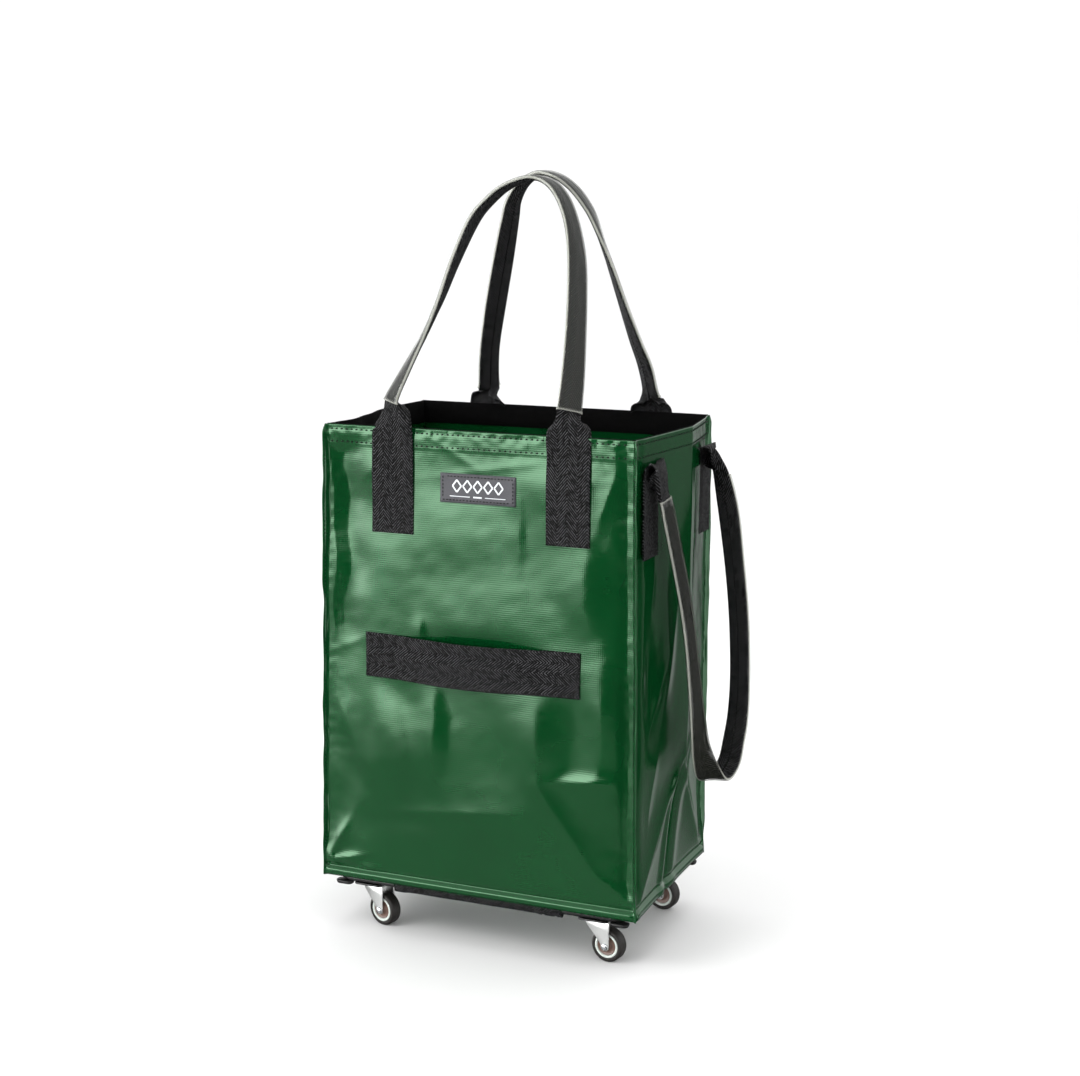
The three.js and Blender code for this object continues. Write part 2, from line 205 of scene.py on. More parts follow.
def coated_cloth():
    """Woven tape under a clear film: fine level ribs and slow streaks."""
    material, g = new_material("green_laminate")
    uv, u, v = g.uv()
    tape = 0.0023
    level = g.math("SINE", g.math("MULTIPLY", v, TAU / tape))
    upright = g.math("SINE", g.math("MULTIPLY", u, TAU / tape))
    weave = g.math("ADD", level, g.math("MULTIPLY", upright, 0.35))
    streaks = g.noise(g.stretched(uv, (60, 420, 1)), 1.0, 3.0, 0.6)
    cloudy = g.noise(g.place(), 9.0, 3.0, 0.55)
    fine = g.noise(g.place(), 190.0, 2.0, 0.5)
    normal = g.bump(weave, 0.000013)
    normal = g.bump(streaks, 0.00003, normal)
    normal = g.bump(fine, 0.000028, normal)
    color = g.mix(cloudy, rgba(0.0005, 0.027, 0.0055), rgba(0.0012, 0.046, 0.0105))
    rough = g.step(streaks, 0.2, 0.8, 0.08, 0.17)
    shader = g.surface(color, rough, normal, IOR=1.62)
    g.put(rgba(0.60, 1.0, 0.67), shader.inputs["Specular Tint"])
    return material


def webbing():
    """Herringbone: slanted ribs that change hand from one column to the next. The raised yarns are painted
    light as a painted sheen and the grooves dark as painted shade, standing in for how light falls on the
    weave.
    """
    material, g = new_material("black_herringbone")
    uv, u, v = g.uv()
    column, rib = 0.0115, 0.0035
    slant = g.math("PINGPONG", g.math("ADD", u, 1.0), column)
    wander = g.noise(g.stretched(uv, (160, 90, 1)), 1.0, 2.0)
    along = g.math("ADD", v, g.math("MULTIPLY", wander, 0.0012))
    phase = g.math("DIVIDE", g.math("ADD", along, g.math("MULTIPLY", slant, 1.2)), rib)
    ribs = g.math("MULTIPLY", g.math("PINGPONG", phase, 0.5), 2.0)
    dash = g.add("ShaderNodeCombineXYZ")
    g.put(g.math("DIVIDE", u, 0.0034), dash.inputs[0])
    g.put(g.math("MULTIPLY", phase, 1.5), dash.inputs[1])
    yarn = g.noise(dash.outputs[0], 1.0, 2.0, 0.6)
    # raised yarns get the light colour below: painted sheen on the ribs, painted shade between them
    raised = g.math("MULTIPLY", g.step(ribs, 0.48, 0.8), g.step(yarn, 0.40, 0.54, 0.06, 1.0))
    color = g.mix(raised, rgba(0.0012, 0.0012, 0.0013), rgba(0.084, 0.084, 0.088))
    height = g.math("ADD", ribs, g.math("MULTIPLY", raised, 0.6))
    g.surface(color, 0.6, g.bump(height, 0.0006), Specular_IOR_Level=0.09)
    return material


def flat_weave(name, color_a, color_b, pitch, roughness):
    material, g = new_material(name)
    _, u, v = g.uv()
    a = g.math("SINE", g.math("MULTIPLY", u, TAU / pitch))
    b = g.math("SINE", g.math("MULTIPLY", v, TAU / pitch))
    normal = g.bump(g.math("MULTIPLY", a, b), 0.0002)
    dust = g.noise(g.place(), 160.0, 3.0)
    g.surface(g.mix(dust, color_a, color_b), roughness, normal, Specular_IOR_Level=0.06)
    return material


def clear_sleeve():
    """Clear soft film over the webbing. The attribute edge is 1 on its welded rims and 0.8 at the tube's
    ends; there the film is painted pale and less clear, a painted highlight.
    """
    material, g = new_material("clear_vinyl")
    edge = g.add("ShaderNodeAttribute", attribute_name="edge").outputs["Fac"]
    ripple = g.noise(g.stretched(g.uv()[0], (70, 14, 1)), 1.0, 2.0)
    # painted highlight: where edge is high the film is coloured pale
    color = g.mix(edge, rgba(0.020, 0.022, 0.017), rgba(0.55, 0.56, 0.50))
    alpha = g.step(edge, 0.0, 1.0, 0.52, 0.60)
    normal = g.bump(ripple, 0.0022)
    shader = g.surface(color, 0.07, normal, IOR=1.55)
    g.put(alpha, shader.inputs["Alpha"])
    return material


def metal(name, color_a, color_b, roughness):
    material, g = new_material(name)
    grain = g.noise(g.place(), 120.0, 3.0, 0.6)
    broad = g.noise(g.place(), 20.0, 2.0)
    rough = g.step(broad, 0.3, 0.7, roughness * 0.8, roughness * 1.25)
    g.surface(g.mix(grain, color_a, color_b), rough, g.bump(grain, 0.0001), Metallic=1.0)
    return material


def moulded(name, color_a, color_b, roughness, scale=300.0, bump=0.0001, **sockets):
    material, g = new_material(name)
    grain = g.noise(g.place(), scale, 3.0, 0.6)
    rough = g.step(grain, 0.3, 0.7, roughness * 0.85, roughness * 1.15)
    g.surface(g.mix(grain, color_a, color_b), rough, g.bump(grain, bump), **sockets)
    return material


GREEN = coated_cloth()
WEBBING = webbing()
TAPE = flat_weave("rim_tape", rgba(0.0012, 0.0012, 0.0013), rgba(0.0035, 0.0035, 0.0036), 0.0011, 0.85)
VINYL = clear_sleeve()
THREAD = moulded("green_thread", rgba(0.0004, 0.005, 0.0015), rgba(0.001, 0.012, 0.004), 0.8)
BLACK_THREAD = moulded("black_thread", rgba(0.002, 0.002, 0.002), rgba(0.01, 0.01, 0.01), 0.7)
ZINC = metal("zinc_plate", rgba(0.60, 0.61, 0.60), rgba(0.74, 0.75, 0.74), 0.36)
BRIGHT = metal("bright_rivet", rgba(0.70, 0.72, 0.74), rgba(0.86, 0.88, 0.90), 0.14)
BLACK_STEEL = moulded(
    "black_paint", rgba(0.003, 0.003, 0.0032), rgba(0.008, 0.008, 0.0085), 0.3, 220.0, 0.00006,
    Coat_Weight=0.25,
)
BLACK_PLASTIC = moulded("black_plastic", rgba(0.004, 0.004, 0.004), rgba(0.009, 0.009, 0.009), 0.45)
TYRE = moulded("tyre_rubber", rgba(0.010, 0.0085, 0.0075), rgba(0.021, 0.018, 0.016), 0.55, 420.0, 0.00015)
RING = moulded("pale_ring", rgba(0.52, 0.57, 0.53), rgba(0.64, 0.69, 0.65), 0.4)
HUB = moulded("brown_hub", rgba(0.085, 0.045, 0.033), rgba(0.16, 0.092, 0.068), 0.38)
LEATHER = moulded("grey_patch", rgba(0.030, 0.030, 0.036), rgba(0.062, 0.062, 0.072), 0.55, 520.0, 0.0003)
PRINT = moulded("pale_print", rgba(0.62, 0.66, 0.68), rgba(0.72, 0.76, 0.78), 0.5)
BOARD = moulded("base_board_grain", rgba(0.006, 0.006, 0.006), rgba(0.018, 0.018, 0.018), 0.6, 80.0, 0.0004)


# ---- Meshes ----
def linked(name, mesh):
    piece = bpy.data.objects.new(name, mesh)
    bpy.context.collection.objects.link(piece)
    return piece


def mesh_object(name, vertices, faces, material, uvs=None):
    mesh = bpy.data.meshes.new(name)
    mesh.from_pydata([tuple(v) for v in vertices], [], faces)
    mesh.materials.append(material)
    if uvs is not None:
        layer = mesh.uv_layers.new(name="UVMap")
        index = np.empty(len(mesh.loops), np.int32)
        mesh.loops.foreach_get("vertex_index", index)
        layer.data.foreach_set("uv", np.asarray(uvs, np.float32)[index].ravel())
    mesh.polygons.foreach_set("use_smooth", [True] * len(mesh.polygons))
    mesh.update()
    return linked(name, mesh)


def grid_faces(rows, columns, closed):
    faces = []
    for j in range(rows - 1):
        low, high = j * columns, (j + 1) * columns
        for i in range(columns if closed else columns - 1):
            k = (i + 1) % columns
            faces.append((low + i, low + k, high + k, high + i))
    return faces


def grid_object(name, places, uvs, material, closed=False):
    """places is rows by columns by 3, in millimetres from the bag's middle."""
    rows, columns = places.shape[:2]
    vertices = places.reshape(-1, 3) * MM + np.array((XC, 0, 0))
    faces = grid_faces(rows, columns, closed)
    return mesh_object(name, vertices, faces, material, uvs.reshape(-1, 2))


def thickened(piece, thickness, offset=0.0):
    solid = piece.modifiers.new("thickness", "SOLIDIFY")
    solid.thickness = thickness * MM
    solid.offset = offset
    return piece


def bevelled(piece, width, angle=35):
    bevel = piece.modifiers.new("bevel", "BEVEL")
    bevel.width = width * MM
    bevel.segments = 2
    bevel.limit_method = "ANGLE"
    bevel.angle_limit = math.radians(angle)
    return piece


def from_bmesh(name, bm, material, smooth=True):
    mesh = bpy.data.meshes.new(name)
    bmesh.ops.recalc_face_normals(bm, faces=bm.faces)
    bm.to_mesh(mesh)
    bm.free()
    mesh.materials.append(material)
    mesh.polygons.foreach_set("use_smooth", [smooth] * len(mesh.polygons))
    return linked(name, mesh)


def smoothstep(x, low, high):
    t = np.clip((x - low) / (high - low), 0, 1)
    return t * t * (3 - 2 * t)


def hill(x, middle, half):
    return np.exp(-(((x - middle) / half) ** 2))


class Waves:
    """A smooth random surface, the sum of seeded plane waves."""

    def __init__(self, seed, shortest, longest, count=14):
        draw = np.random.RandomState(seed)
        length = np.exp(draw.uniform(math.log(shortest), math.log(longest), count))
        angle = draw.uniform(0, TAU, count)
        self.kx = TAU / length * np.cos(angle)
        self.ky = TAU / length * np.sin(angle)
        self.phase = draw.uniform(0, TAU, count)
        self.size = (length / longest) / math.sqrt(count / 2)

    def __call__(self, x, y):
        total = 0
        for kx, ky, phase, size in zip(self.kx, self.ky, self.phase, self.size):
            total = total + size * np.cos(kx * x + ky * y + phase)
        return total


def fold(x, y, at_x, at_y, angle, length, width, height):
    """A crease: a ridge with a sharp crest along a line that fades at its ends."""
    c, s = math.cos(math.radians(angle)), math.sin(math.radians(angle))
    along = (x - at_x) * c + (y - at_y) * s
    away = -(x - at_x) * s + (y - at_y) * c
    return height * np.exp(-np.sqrt(away**2 + 1.0) / width) * np.exp(-((along / length) ** 2))


# ---- The bag: one lofted shell ----
# Each panel is a function of place along it and height, in millimetres outwards.
broad_waves = {face: Waves(seed, 70, 190) for face, seed in zip("frbl", (11, 23, 37, 41))}
small_waves = {face: Waves(seed, 16, 55) for face, seed in zip("frbl", (5, 8, 13, 21))}
crumple = Waves(77, 7, 22, 18)


def up(z):
    return (z - FLOOR_Z) / (RIM_Z - FLOOR_Z)


def hems(z, edge, dips):
    """The rolled seam at the foot, the rim's hem, and the dips beside the corner fins."""
    bead = 2.9 * np.sqrt(np.clip(1 - ((z - FLOOR_Z - 5.2) / 5.4) ** 2, 0, 1))
    groove = -1.6 * hill(z, FLOOR_Z + 12.5, 2.6)
    held = smoothstep(z, FLOOR_Z + 12, FLOOR_Z + 45) * smoothstep(RIM_Z - z, 2, 60)
    dip = -2.6 * dips * hill(edge, 9, 6.5) * smoothstep(z, FLOOR_Z + 14, FLOOR_Z + 30)
    hem = 0.4 * smoothstep(z, RIM_Z - 24, RIM_Z - 20) - 0.12 * hill(z, RIM_Z - 19, 1.4)
    rolled = -0.1 * hill(z, RIM_Z - 5, 1.4)
    return bead + groove + dip * (0.5 + 0.5 * held) + hem + rolled, held


# broad waves, small waves, crumples, their share at the rim, their reach, their shift
SLACK = {
    "f": (0.8, 0.10, 0.27, 1.5, 16, 0),
    "r": (0.35, 0.06, 0.25, 0.6, 14, 40),
    "b": (1.5, 0.15, 0.38, 0.8, 16, 90),
    "l": (1.3, 0.15, 0.35, 0.5, 14, -70),
}
# size, then middle and half width across, then middle and half height
HILLS = {
    "f": (
        (3.0, -50, 16, 250, 54),
        (4.6, 72, 27, 240, 62),
        (3.6, 152, 19, 280, 58),
        (0.9, 50, 9, 505, 60),
        (1.5, -66, 9, 359, 18),
        (2.6, 126, 24, 428, 50),
        (1.6, -90, 26, 430, 70),
        (-1.8, -126, 10, 250, 36),
        (-3.2, 14, 60, GRAB_Z + 16, 14),
    ),
    "r": ((2.4, -44, 15, 352, 70), (-2.2, -86, 12, 320, 34)),
    "b": (),
    "l": ((-4.0, 10, 50, 240, 110),),
}
# middle across, middle height, angle, length, width, size
FOLDS = {
    "f": (
        (128, 213, 6, 30, 8, 3.4),
        (112, 150, -56, 60, 10, 2.0),
        (-12, 160, 6, 62, 13, 2.2),
        (-150, 340, 24, 24, 7, 1.1),
        (-158, 250, -66, 34, 8, 2.0),
        (-166, 108, 62, 30, 5, 4.6),
        (-158, 86, 14, 20, 4, 4.2),
        (-176, 84, -50, 14, 4, 3.0),
        (-132, 78, -10, 20, 5, 1.8),
        (16, 545, 10, 60, 5, 0.9),
        (-18, 556, -28, 24, 5, 1.0),
        (-120, 540, 40, 20, 5, 1.0),
        (152, 520, 70, 26, 6, 1.3),
        (168, 92, -32, 26, 7, 2.4),
    ),
    "r": (
        (-66, 300, 62, 34, 7, 2.4),
        (-30, 350, 74, 60, 8, 1.8),
        (-78, 430, 84, 30, 6, 1.4),
        (-70, 196, 78, 34, 6, 1.6),
        (30, 470, 86, 70, 5, 1.2),
    ),
    "b": (
        (-70, 190, 30, 60, 10, 2.6),
        (90, 230, -40, 60, 10, 2.6),
        (10, 150, 5, 70, 12, 2.0),
        (140, 420, 80, 60, 9, 1.8),
    ),
    "l": ((0, 200, 60, 60, 9, 2.4), (40, 160, -45, 60, 9, 2.2)),
}


def cloth(face, place, z, edge, dips=1.0):
    """What all the panels have: seams, random waves, edge crumples, hills and folds."""
    broad, small, crumpled, at_rim, reach, shift = SLACK[face]
    out, held = hems(z, edge, dips)
    out = out + held * (broad * broad_waves[face](place, z) + small * small_waves[face](place, z))
    near = np.exp(-edge / reach) + at_rim * np.exp(-(RIM_Z - z) / reach)
    near = near * smoothstep(z, FLOOR_Z + 14, FLOOR_Z + 26)
    out = out + crumpled * crumple(place + shift, z) * near
    for size, middle, half, height, tall in HILLS[face]:
        out = out + size * hill(place, middle, half) * hill(z, height, tall)
    for row in FOLDS[face]:
        out = out + fold(place, z, *row)
    return out


def front_out(x, z):
    edge = HALF_W - np.abs(x)
    belly = np.sin(math.pi * np.clip(up(z), 0, 1) ** 0.62) ** 1.2
    out = 7.5 * (1 - (x / HALF_W) ** 4) * belly
    out = out + cloth("f", x, z, edge, np.where(x < 0, 0.15, 1.0))
    # a long hollow beside the left seam
    left = x + HALF_W
    wander = 3.0 * np.sin(z / 31.0) + 2.0 * np.sin(z / 13.0)
    deep = 0.55 + 0.45 * smoothstep(z, 300, 380)
    deep = deep * smoothstep(RIM_Z - z, 4, 34) * smoothstep(z, 110, 190)
    out += -5.0 * deep * hill(left, 30 + wander, 17)
    lip = smoothstep(z, 300, 360) * smoothstep(RIM_Z - z, 30, 70)
    out += 0.7 * lip * hill(left, 9 + wander / 2, 2.2)
    # a slack round swelling under the strap's left end
    away = np.sqrt((x + 116) ** 2 + (0.78 * (z - 236) + 0.25 * (x + 116)) ** 2)
    return out + 3.4 * np.exp(-((away / 44) ** 4))


def rear_out(x, z):
    belly = np.sin(math.pi * np.clip(up(z), 0, 1) ** 0.7) ** 1.2
    return 6.5 * (1 - (x / HALF_W) ** 2) * belly + cloth("b", x, z, HALF_W - np.abs(x))


def right_out(y, z):
    """A centre crease pushed out, which forks towards the two corners at the foot."""
    crease_y, fork_z = 18.0, 212.0
    size = 15.5 * smoothstep(z, 30, 270)
    reach = np.where(y > crease_y, HALF_D - crease_y, HALF_D + crease_y)
    tent = np.clip(1 - np.abs(y - crease_y) / reach, 0, 1)
    above = smoothstep(z, fork_z - 60, fork_z + 30)
    out = size * tent**0.92 * above
    # below the fork: two diagonal folds with a slack triangle between them
    drop = np.clip((fork_z - z) / (fork_z - FLOOR_Z), 0, 1)
    for sign in (-1, 1):
        line = crease_y + sign * drop * (HALF_D - sign * crease_y)
        crest = 8.5 * (1 - 0.8 * drop)
        out += (1 - above) * crest * np.exp(-np.abs(y - line) / (10 + 20 * drop))
    low = smoothstep(-z, -fork_z - 10, -fork_z + 40)
    slit = 22 - 40 * drop
    out += low * -6.5 * np.exp(-np.sqrt((y - slit) ** 2 + 0.6) / 3.4) * (1 - 0.6 * drop)
    out += low * 3.6 * hill(y, slit - 17, 8) * (1 - 0.5 * drop)
    out += low * 2.4 * hill(y, slit + 22, 10) * (1 - 0.5 * drop)
    return out + cloth("r", y, z, HALF_D - np.abs(y))


def left_out(y, z):
    size = smoothstep(z, 110, 540)
    out = -10.5 * hill(y, -76, 34) - 4.0 * hill(y, -24, 20) + 5.0 * hill(y, 40, 46)
    return out * size + cloth("l", y, z, HALF_D - np.abs(y))


def half_sizes(z):
    return HALF_W + 1.6 + 0 * z, HALF_D - 0.2 + 0.6 * up(z)


def settled(places):
    """The bag leans a little: its corners stand where the load has pulled them."""
    x, y, z = places[..., 0], places[..., 1], places[..., 2]
    b = up(z)
    front = np.clip((HALF_D - y) / (2 * HALF_D), 0, 1)
    right = np.clip((x / HALF_W + 1) / 2, 0, 1)
    in_front = b * (6.5 - 3.5 * right) + (1 - b) * (-4 + 10 * right)
    behind = b * 4 * (1 - right) - (1 - b) * 2 * right
    moved = places.copy()
    moved[..., 0] = x + front * in_front + (1 - front) * behind
    return moved


ACROSS, DEEP = 118, 80  # cells across a wide and a narrow panel
PANEL_SHARE = 0.994  # of the width between two corner seams
# the fin's section, as a share of its reach and a place across it
FIN = ((0.35, -0.9), (0.8, -0.8), (1.0, -0.3), (1.0, 0.3), (0.8, 0.8), (0.35, 0.9))
heights = np.concatenate(
    (
        np.linspace(FLOOR_Z, FLOOR_Z + 18, 17)[:-1],
        np.linspace(FLOOR_Z + 18, RIM_Z - 24, 150)[:-1],
        np.linspace(RIM_Z - 24, RIM_Z, 18),
    )
)
fin_noise = Waves(99, 26, 90, 12)


def bag_shell():
    """The rows of the loft. Columns run front, right, rear, left, with a thin seam fin
    standing out at each corner. Also returns where each face's columns are."""
    z = heights[:, None]
    hx, hy = half_sizes(z)
    columns, spans = [], {}
    faces = (
        ("f", ACROSS, (1, 0), (0, -1), front_out, 1),
        ("r", DEEP, (0, 1), (1, 0), right_out, 1),
        ("b", ACROSS, (-1, 0), (0, 1), rear_out, -1),
        ("l", DEEP, (0, -1), (-1, 0), left_out, -1),
    )
    for n, (face, cells, way, normal, out, sign) in enumerate(faces):
        wide = face in "fb"
        half, stand = (hx, hy) if wide else (hy, hx)
        start = len(columns)
        for i in range(cells + 1):
            t = (-1 + 2 * i / cells) * PANEL_SHARE
            run = t * half
            local = sign * t * (HALF_W if wide else HALF_D)
            off = stand + out(local + 0 * z, z)
            x = run * way[0] + off * normal[0]
            y = run * way[1] + off * normal[1]
            columns.append(np.stack((x, y, z + 0 * x), -1)[:, 0])
        spans[face] = (start, len(columns))
        # the fin at this face's far corner
        east, north = way[0] + normal[0], way[1] + normal[1]
        corner = np.stack((east * hx, north * hy, z), -1)[:, 0]
        diagonal = np.array((east, north, 0)) / math.sqrt(2)
        sideways = np.array((way[0] - normal[0], way[1] - normal[1], 0)) / math.sqrt(2)
        tall = 4.2 + 0.7 * fin_noise(heights, 40.0 * n)
        tall = tall * smoothstep(RIM_Z - heights, -6, 10)
        lean = 0.55 * fin_noise(heights + 200, 60.0 * n)
        for reach, off in FIN:
            place = corner + diagonal * (tall * reach + 0.4)[:, None]
            place = place + sideways * (off + lean * reach)[:, None]
            columns.append(place)
    return np.stack(columns, 1), spans


shell, spans = bag_shell()
shell = settled(shell)
loop = np.linalg.norm(np.diff(np.vstack((shell[0], shell[0][:1])), axis=0), axis=1)
girth = np.concatenate(((0,), np.cumsum(loop)))
uv_u = np.repeat(girth[None, :-1], len(heights), 0) * MM
uv_v = np.repeat(heights[:, None], shell.shape[1], 1) * MM


def face_sampler(face, axis, sign):
    """How far a panel's surface stands from the middle, at a place along it."""
    start, end = spans[face]
    along = shell[:, start:end, axis] * sign
    across = np.abs(shell[:, start:end, 1 - axis])

    def sample(place, z):
        j = np.clip(np.searchsorted(heights, z) - 1, 0, len(heights) - 2)
        f = (z - heights[j]) / (heights[j + 1] - heights[j])
        low = np.interp(place * sign, along[j], across[j])
        high = np.interp(place * sign, along[j + 1], across[j + 1])
        return float(low + (high - low) * np.clip(f, 0, 1))

    return sample


# each side: how far its surface stands, and the way it faces
FRONT = (face_sampler("f", 0, 1), (0, -1))
RIGHT = (face_sampler("r", 1, 1), (1, 0))
REAR = (face_sampler("b", 0, -1), (0, 1))
LEFT = (face_sampler("l", 1, -1), (-1, 0))

bag = grid_object("bag_shell", shell, np.stack((uv_u, uv_v), -1), GREEN, closed=True)
# the loop's last cell wraps round, so its loops take the girth's end, not its start
wrap = bag.data.uv_layers[0].data
around = shell.shape[1]
for polygon in bag.data.polygons:
    columns = {vertex % around for vertex in polygon.vertices}
    if columns == {0, around - 1}:
        for li in polygon.loop_indices:
            if bag.data.loops[li].vertex_index % around == 0:
                wrap[li].uv.x = girth[-1] * MM
thickened(bag, CLOTH_T, -1.0)
keep(bag, "bag", "green_cloth", "front_panel", "rear_panel", "left_panel", "right_panel")


def bag_floor():
    """The bottom panel, slack between its seams, with the cloth's own weave."""
    n, m = 60, 44
    x = np.linspace(-HALF_W - 2.6, HALF_W + 2.6, n)[None, :] + np.zeros((m, 1))
    y = np.linspace(-HALF_D - 1.2, HALF_D + 1.2, m)[:, None] + np.zeros((1, n))
    edge = np.minimum(HALF_W - np.abs(x), HALF_D - np.abs(y))
    z = FLOOR_Z + 3.6 + 0.5 * small_waves["f"](x, y) * smoothstep(edge, 2, 40)
    places = settled(np.stack((x, y, z), -1))
    piece = grid_object("bag_floor", places[::-1], np.stack((x, y), -1) * MM, GREEN)
    thickened(piece, CLOTH_T)
    return keep(piece, "bag", "green_cloth", "bottom_panel")


floor_panel = bag_floor()


def rim_tape():
    """Black tape folded over the inside of the rim, in the shell's own waves."""
    columns = [i for face in "frbl" for i in range(*spans[face])]
    # height against the rim, and how far inside the shell
    section = ((0.3, 0.2), (0.5, 1.0), (-0.6, 1.9), (-8, 2.1), (-16, 2.0), (-25.0, 1.9), (-25.6, 1.2))
    rows = []
    for rise, inset in section:
        z = RIM_Z + rise
        j = int(np.clip(np.searchsorted(heights, z), 0, len(heights) - 1))
        ring = shell[j, columns].copy()
        for face, (axis, side) in zip("frbl", ((1, 1), (0, -1), (1, -1), (0, 1))):
            here = [k for k, c in enumerate(columns) if spans[face][0] <= c < spans[face][1]]
            ring[here, axis] += side * inset
            ring[here, 1 - axis] *= 1 - inset / 190
        ring[:, 2] = z
        rows.append(ring)
    places = np.stack(rows, 0)
    u = np.linspace(0, girth[-1], len(columns))[None, :] + np.zeros((len(rows), 1))
    uvs = np.stack((u, places[:, :, 2]), -1) * MM
    piece = grid_object("rim_tape_soft", places, uvs, TAPE, closed=True)
    thickened(piece, 0.7)
    keep(piece, "bag", "black_tape", "rim_tape")


rim_tape()


# ---- Webbing ----
def running(places):
    """The distance along a line of places, from 0 at the first."""
    steps = np.linalg.norm(np.diff(places, axis=0), axis=1)
    return np.concatenate(((0,), np.cumsum(steps)))


def smooth_path(points, spacing):
    """A smooth curve through points of any number of numbers, evenly spaced by the
    first three. Returns the places and the distance to each."""
    points = np.asarray(points, float)
    padded = np.vstack((2 * points[0] - points[1], points, 2 * points[-1] - points[-2]))
    dense = []
    t = np.linspace(0, 1, 24, endpoint=False)[:, None]
    for a, b, c, d in zip(padded, padded[1:], padded[2:], padded[3:]):
        quadratic, cubic = 2 * a - 5 * b + 4 * c - d, 3 * b - a - 3 * c + d
        dense.append(0.5 * (2 * b + (c - a) * t + quadratic * t**2 + cubic * t**3))
    dense = np.vstack(dense + [points[-1:]])
    run = running(dense[:, :3])
    count = max(2, int(round(run[-1] / spacing)))
    at = np.linspace(0, run[-1], count + 1)
    return np.stack([np.interp(at, run, column) for column in dense.T], 1), at


def strap_frames(path):
    """Tangent, width direction and the direction through, at each place of a path
    whose fourth number is the azimuth of the width in degrees."""
    along = np.gradient(path[:, :3], axis=0)
    along /= np.linalg.norm(along, axis=1)[:, None]
    turn = np.radians(path[:, 3])
    across = np.stack((np.cos(turn), np.sin(turn), 0 * turn), 1)
    across -= along * np.sum(across * along, 1)[:, None]
    across /= np.linalg.norm(across, axis=1)[:, None]
    return along, across, np.cross(along, across)


def folded_section(amount, side):
    """Webbing folded lengthwise to its back: places across and through, for an amount
    from 0, flat, to 1, both edges folded under."""
    samples = 37
    s = np.linspace(-WEB_W / 2, WEB_W / 2, samples)
    middle = WEB_W / 2 - (WEB_W - FOLDED_W) / 2 * smoothstep(amount, 0, 0.7)
    angle = math.radians(174) * smoothstep(amount, 0.1, 1.0)
    bend = angle * smoothstep(np.abs(s), middle - 1.5, middle + 1.5)
    ds = s[1] - s[0]
    half = samples // 2
    across, through = np.zeros(samples), np.zeros(samples)
    for i in range(half, samples - 1):
        b = (bend[i] + bend[i + 1]) / 2
        across[i + 1] = across[i] + ds * math.cos(b)
        through[i + 1] = through[i] + ds * math.sin(b)
    across[:half] = -across[half + 1:][::-1]
    through[:half] = through[half + 1:][::-1]
    return across, through * side, s


def webbing_strip(name, stations, side):
    """Stations are x, y, z, azimuth of the width, and how far the webbing is folded."""
    path, run = smooth_path(stations, 3.0)
    _, across, through = strap_frames(path)
    rows, uvs = [], []
    for k in range(len(path)):
        a, t, s = folded_section(float(np.clip(path[k, 4], 0, 1)), side)
        rows.append(path[k, :3] + np.outer(a, across[k]) + np.outer(t, through[k]))
        uvs.append(np.stack((s, np.full_like(s, run[k])), 1) * MM)
    piece = grid_object(name, np.stack(rows), np.stack(uvs), WEBBING)
    return thickened(piece, WEB_T), path, run


def sleeve_tube(handle, path, run, first, last):
    """A flat clear tube over the folded webbing, from first to last along the path."""
    path, run = path[first:last + 1], run[first:last + 1]
    _, across, through = strap_frames(path)
    angle = np.linspace(0, TAU, 26, endpoint=False)
    wide, thick = FOLDED_W / 2 + 1.3, 2.75
    ca, sa = np.cos(angle), np.sin(angle)
    p = np.sign(ca) * np.abs(ca) ** 0.35 * wide
    q = np.sign(sa) * np.abs(sa) ** 0.8 * thick
    rim = smoothstep(np.abs(p), wide - 0.9, wide - 0.1)
    rows, uvs, edges = [], [], []
    for k in range(len(path)):
        at_end = k in (0, len(path) - 1)
        flare = 1.05 if at_end else 1.0
        ring = np.outer(p * flare, across[k]) + np.outer(q * flare, through[k])
        rows.append(path[k, :3] + ring)
        uvs.append(np.stack((p, np.full_like(p, run[k])), 1) * MM)
        # edge marks where the painted highlight goes: along the rims, and at both ends
        edges.append(np.maximum(rim, 0.8 if at_end else 0.0))
    name = f"{handle}_clear_sleeve"
    piece = grid_object(name, np.stack(rows), np.stack(uvs), VINYL, closed=True)
    layer = piece.data.attributes.new("edge", "FLOAT", "POINT")
    layer.data.foreach_set("value", np.concatenate(edges).astype(np.float32))
    keep(piece, handle, "clear_vinyl", f"{handle}_sleeve")


def pressed_on(side, place, z, stand):
    """A place on a side of the bag, standing off it by stand millimetres."""
    sample, normal = side
    off = sample(place, z) + stand
    if normal[0]:
        return [normal[0] * off, place, z]
    return [place, normal[1] * off, z]


HANDLES = {
    # x, y, z and azimuth of the width; the sewn patches are added at each end
    "front": [
        [-96, -121, 616, -36],
        [-81, -115, 648, -50],
        [-67, -100, 684, -63],
        [-57, -80, 721, -74],
        [-47, -62, 763, -83],
        [-33, -44, 806, -90],
        [-17, -33, 829, -91],
        [1, -25, 844, -92],
        [26, -18, 852.5, -92],
        [47, -17, 846.5, -93],
        [64, -21, 829, -96],
        [78, -29, 801, -99],
        [89, -43, 766, -108],
        [98, -64, 724, -112],
        [104.6, -84, 683, -117],
        [110, -104, 643, -126],
        [112, -118, 611, -138],
    ],
    "rear": [
        [-93, 121, 607, -132],
        [-88, 111, 636, -120],
        [-80, 99, 664, -119],
        [-63, 79, 712, -125],
        [-46.6, 62, 758, -122],
        [-29, 42, 804, -110],
        [-20, 33, 827, -101],
        [-4, 25, 846, -94],
        [19, 18, 857, -90],
        [41, 15.5, 853.5, -90],
        [59, 18, 841, -88],
        [72, 24, 823, -84],
        [80, 32, 803, -78],
        [89, 50, 761, -62],
        [97, 70, 716, -54],
        [106, 90, 670, -43],
        [112, 105, 640, -36],
        [114.6, 118, 608, -30],
    ],
}
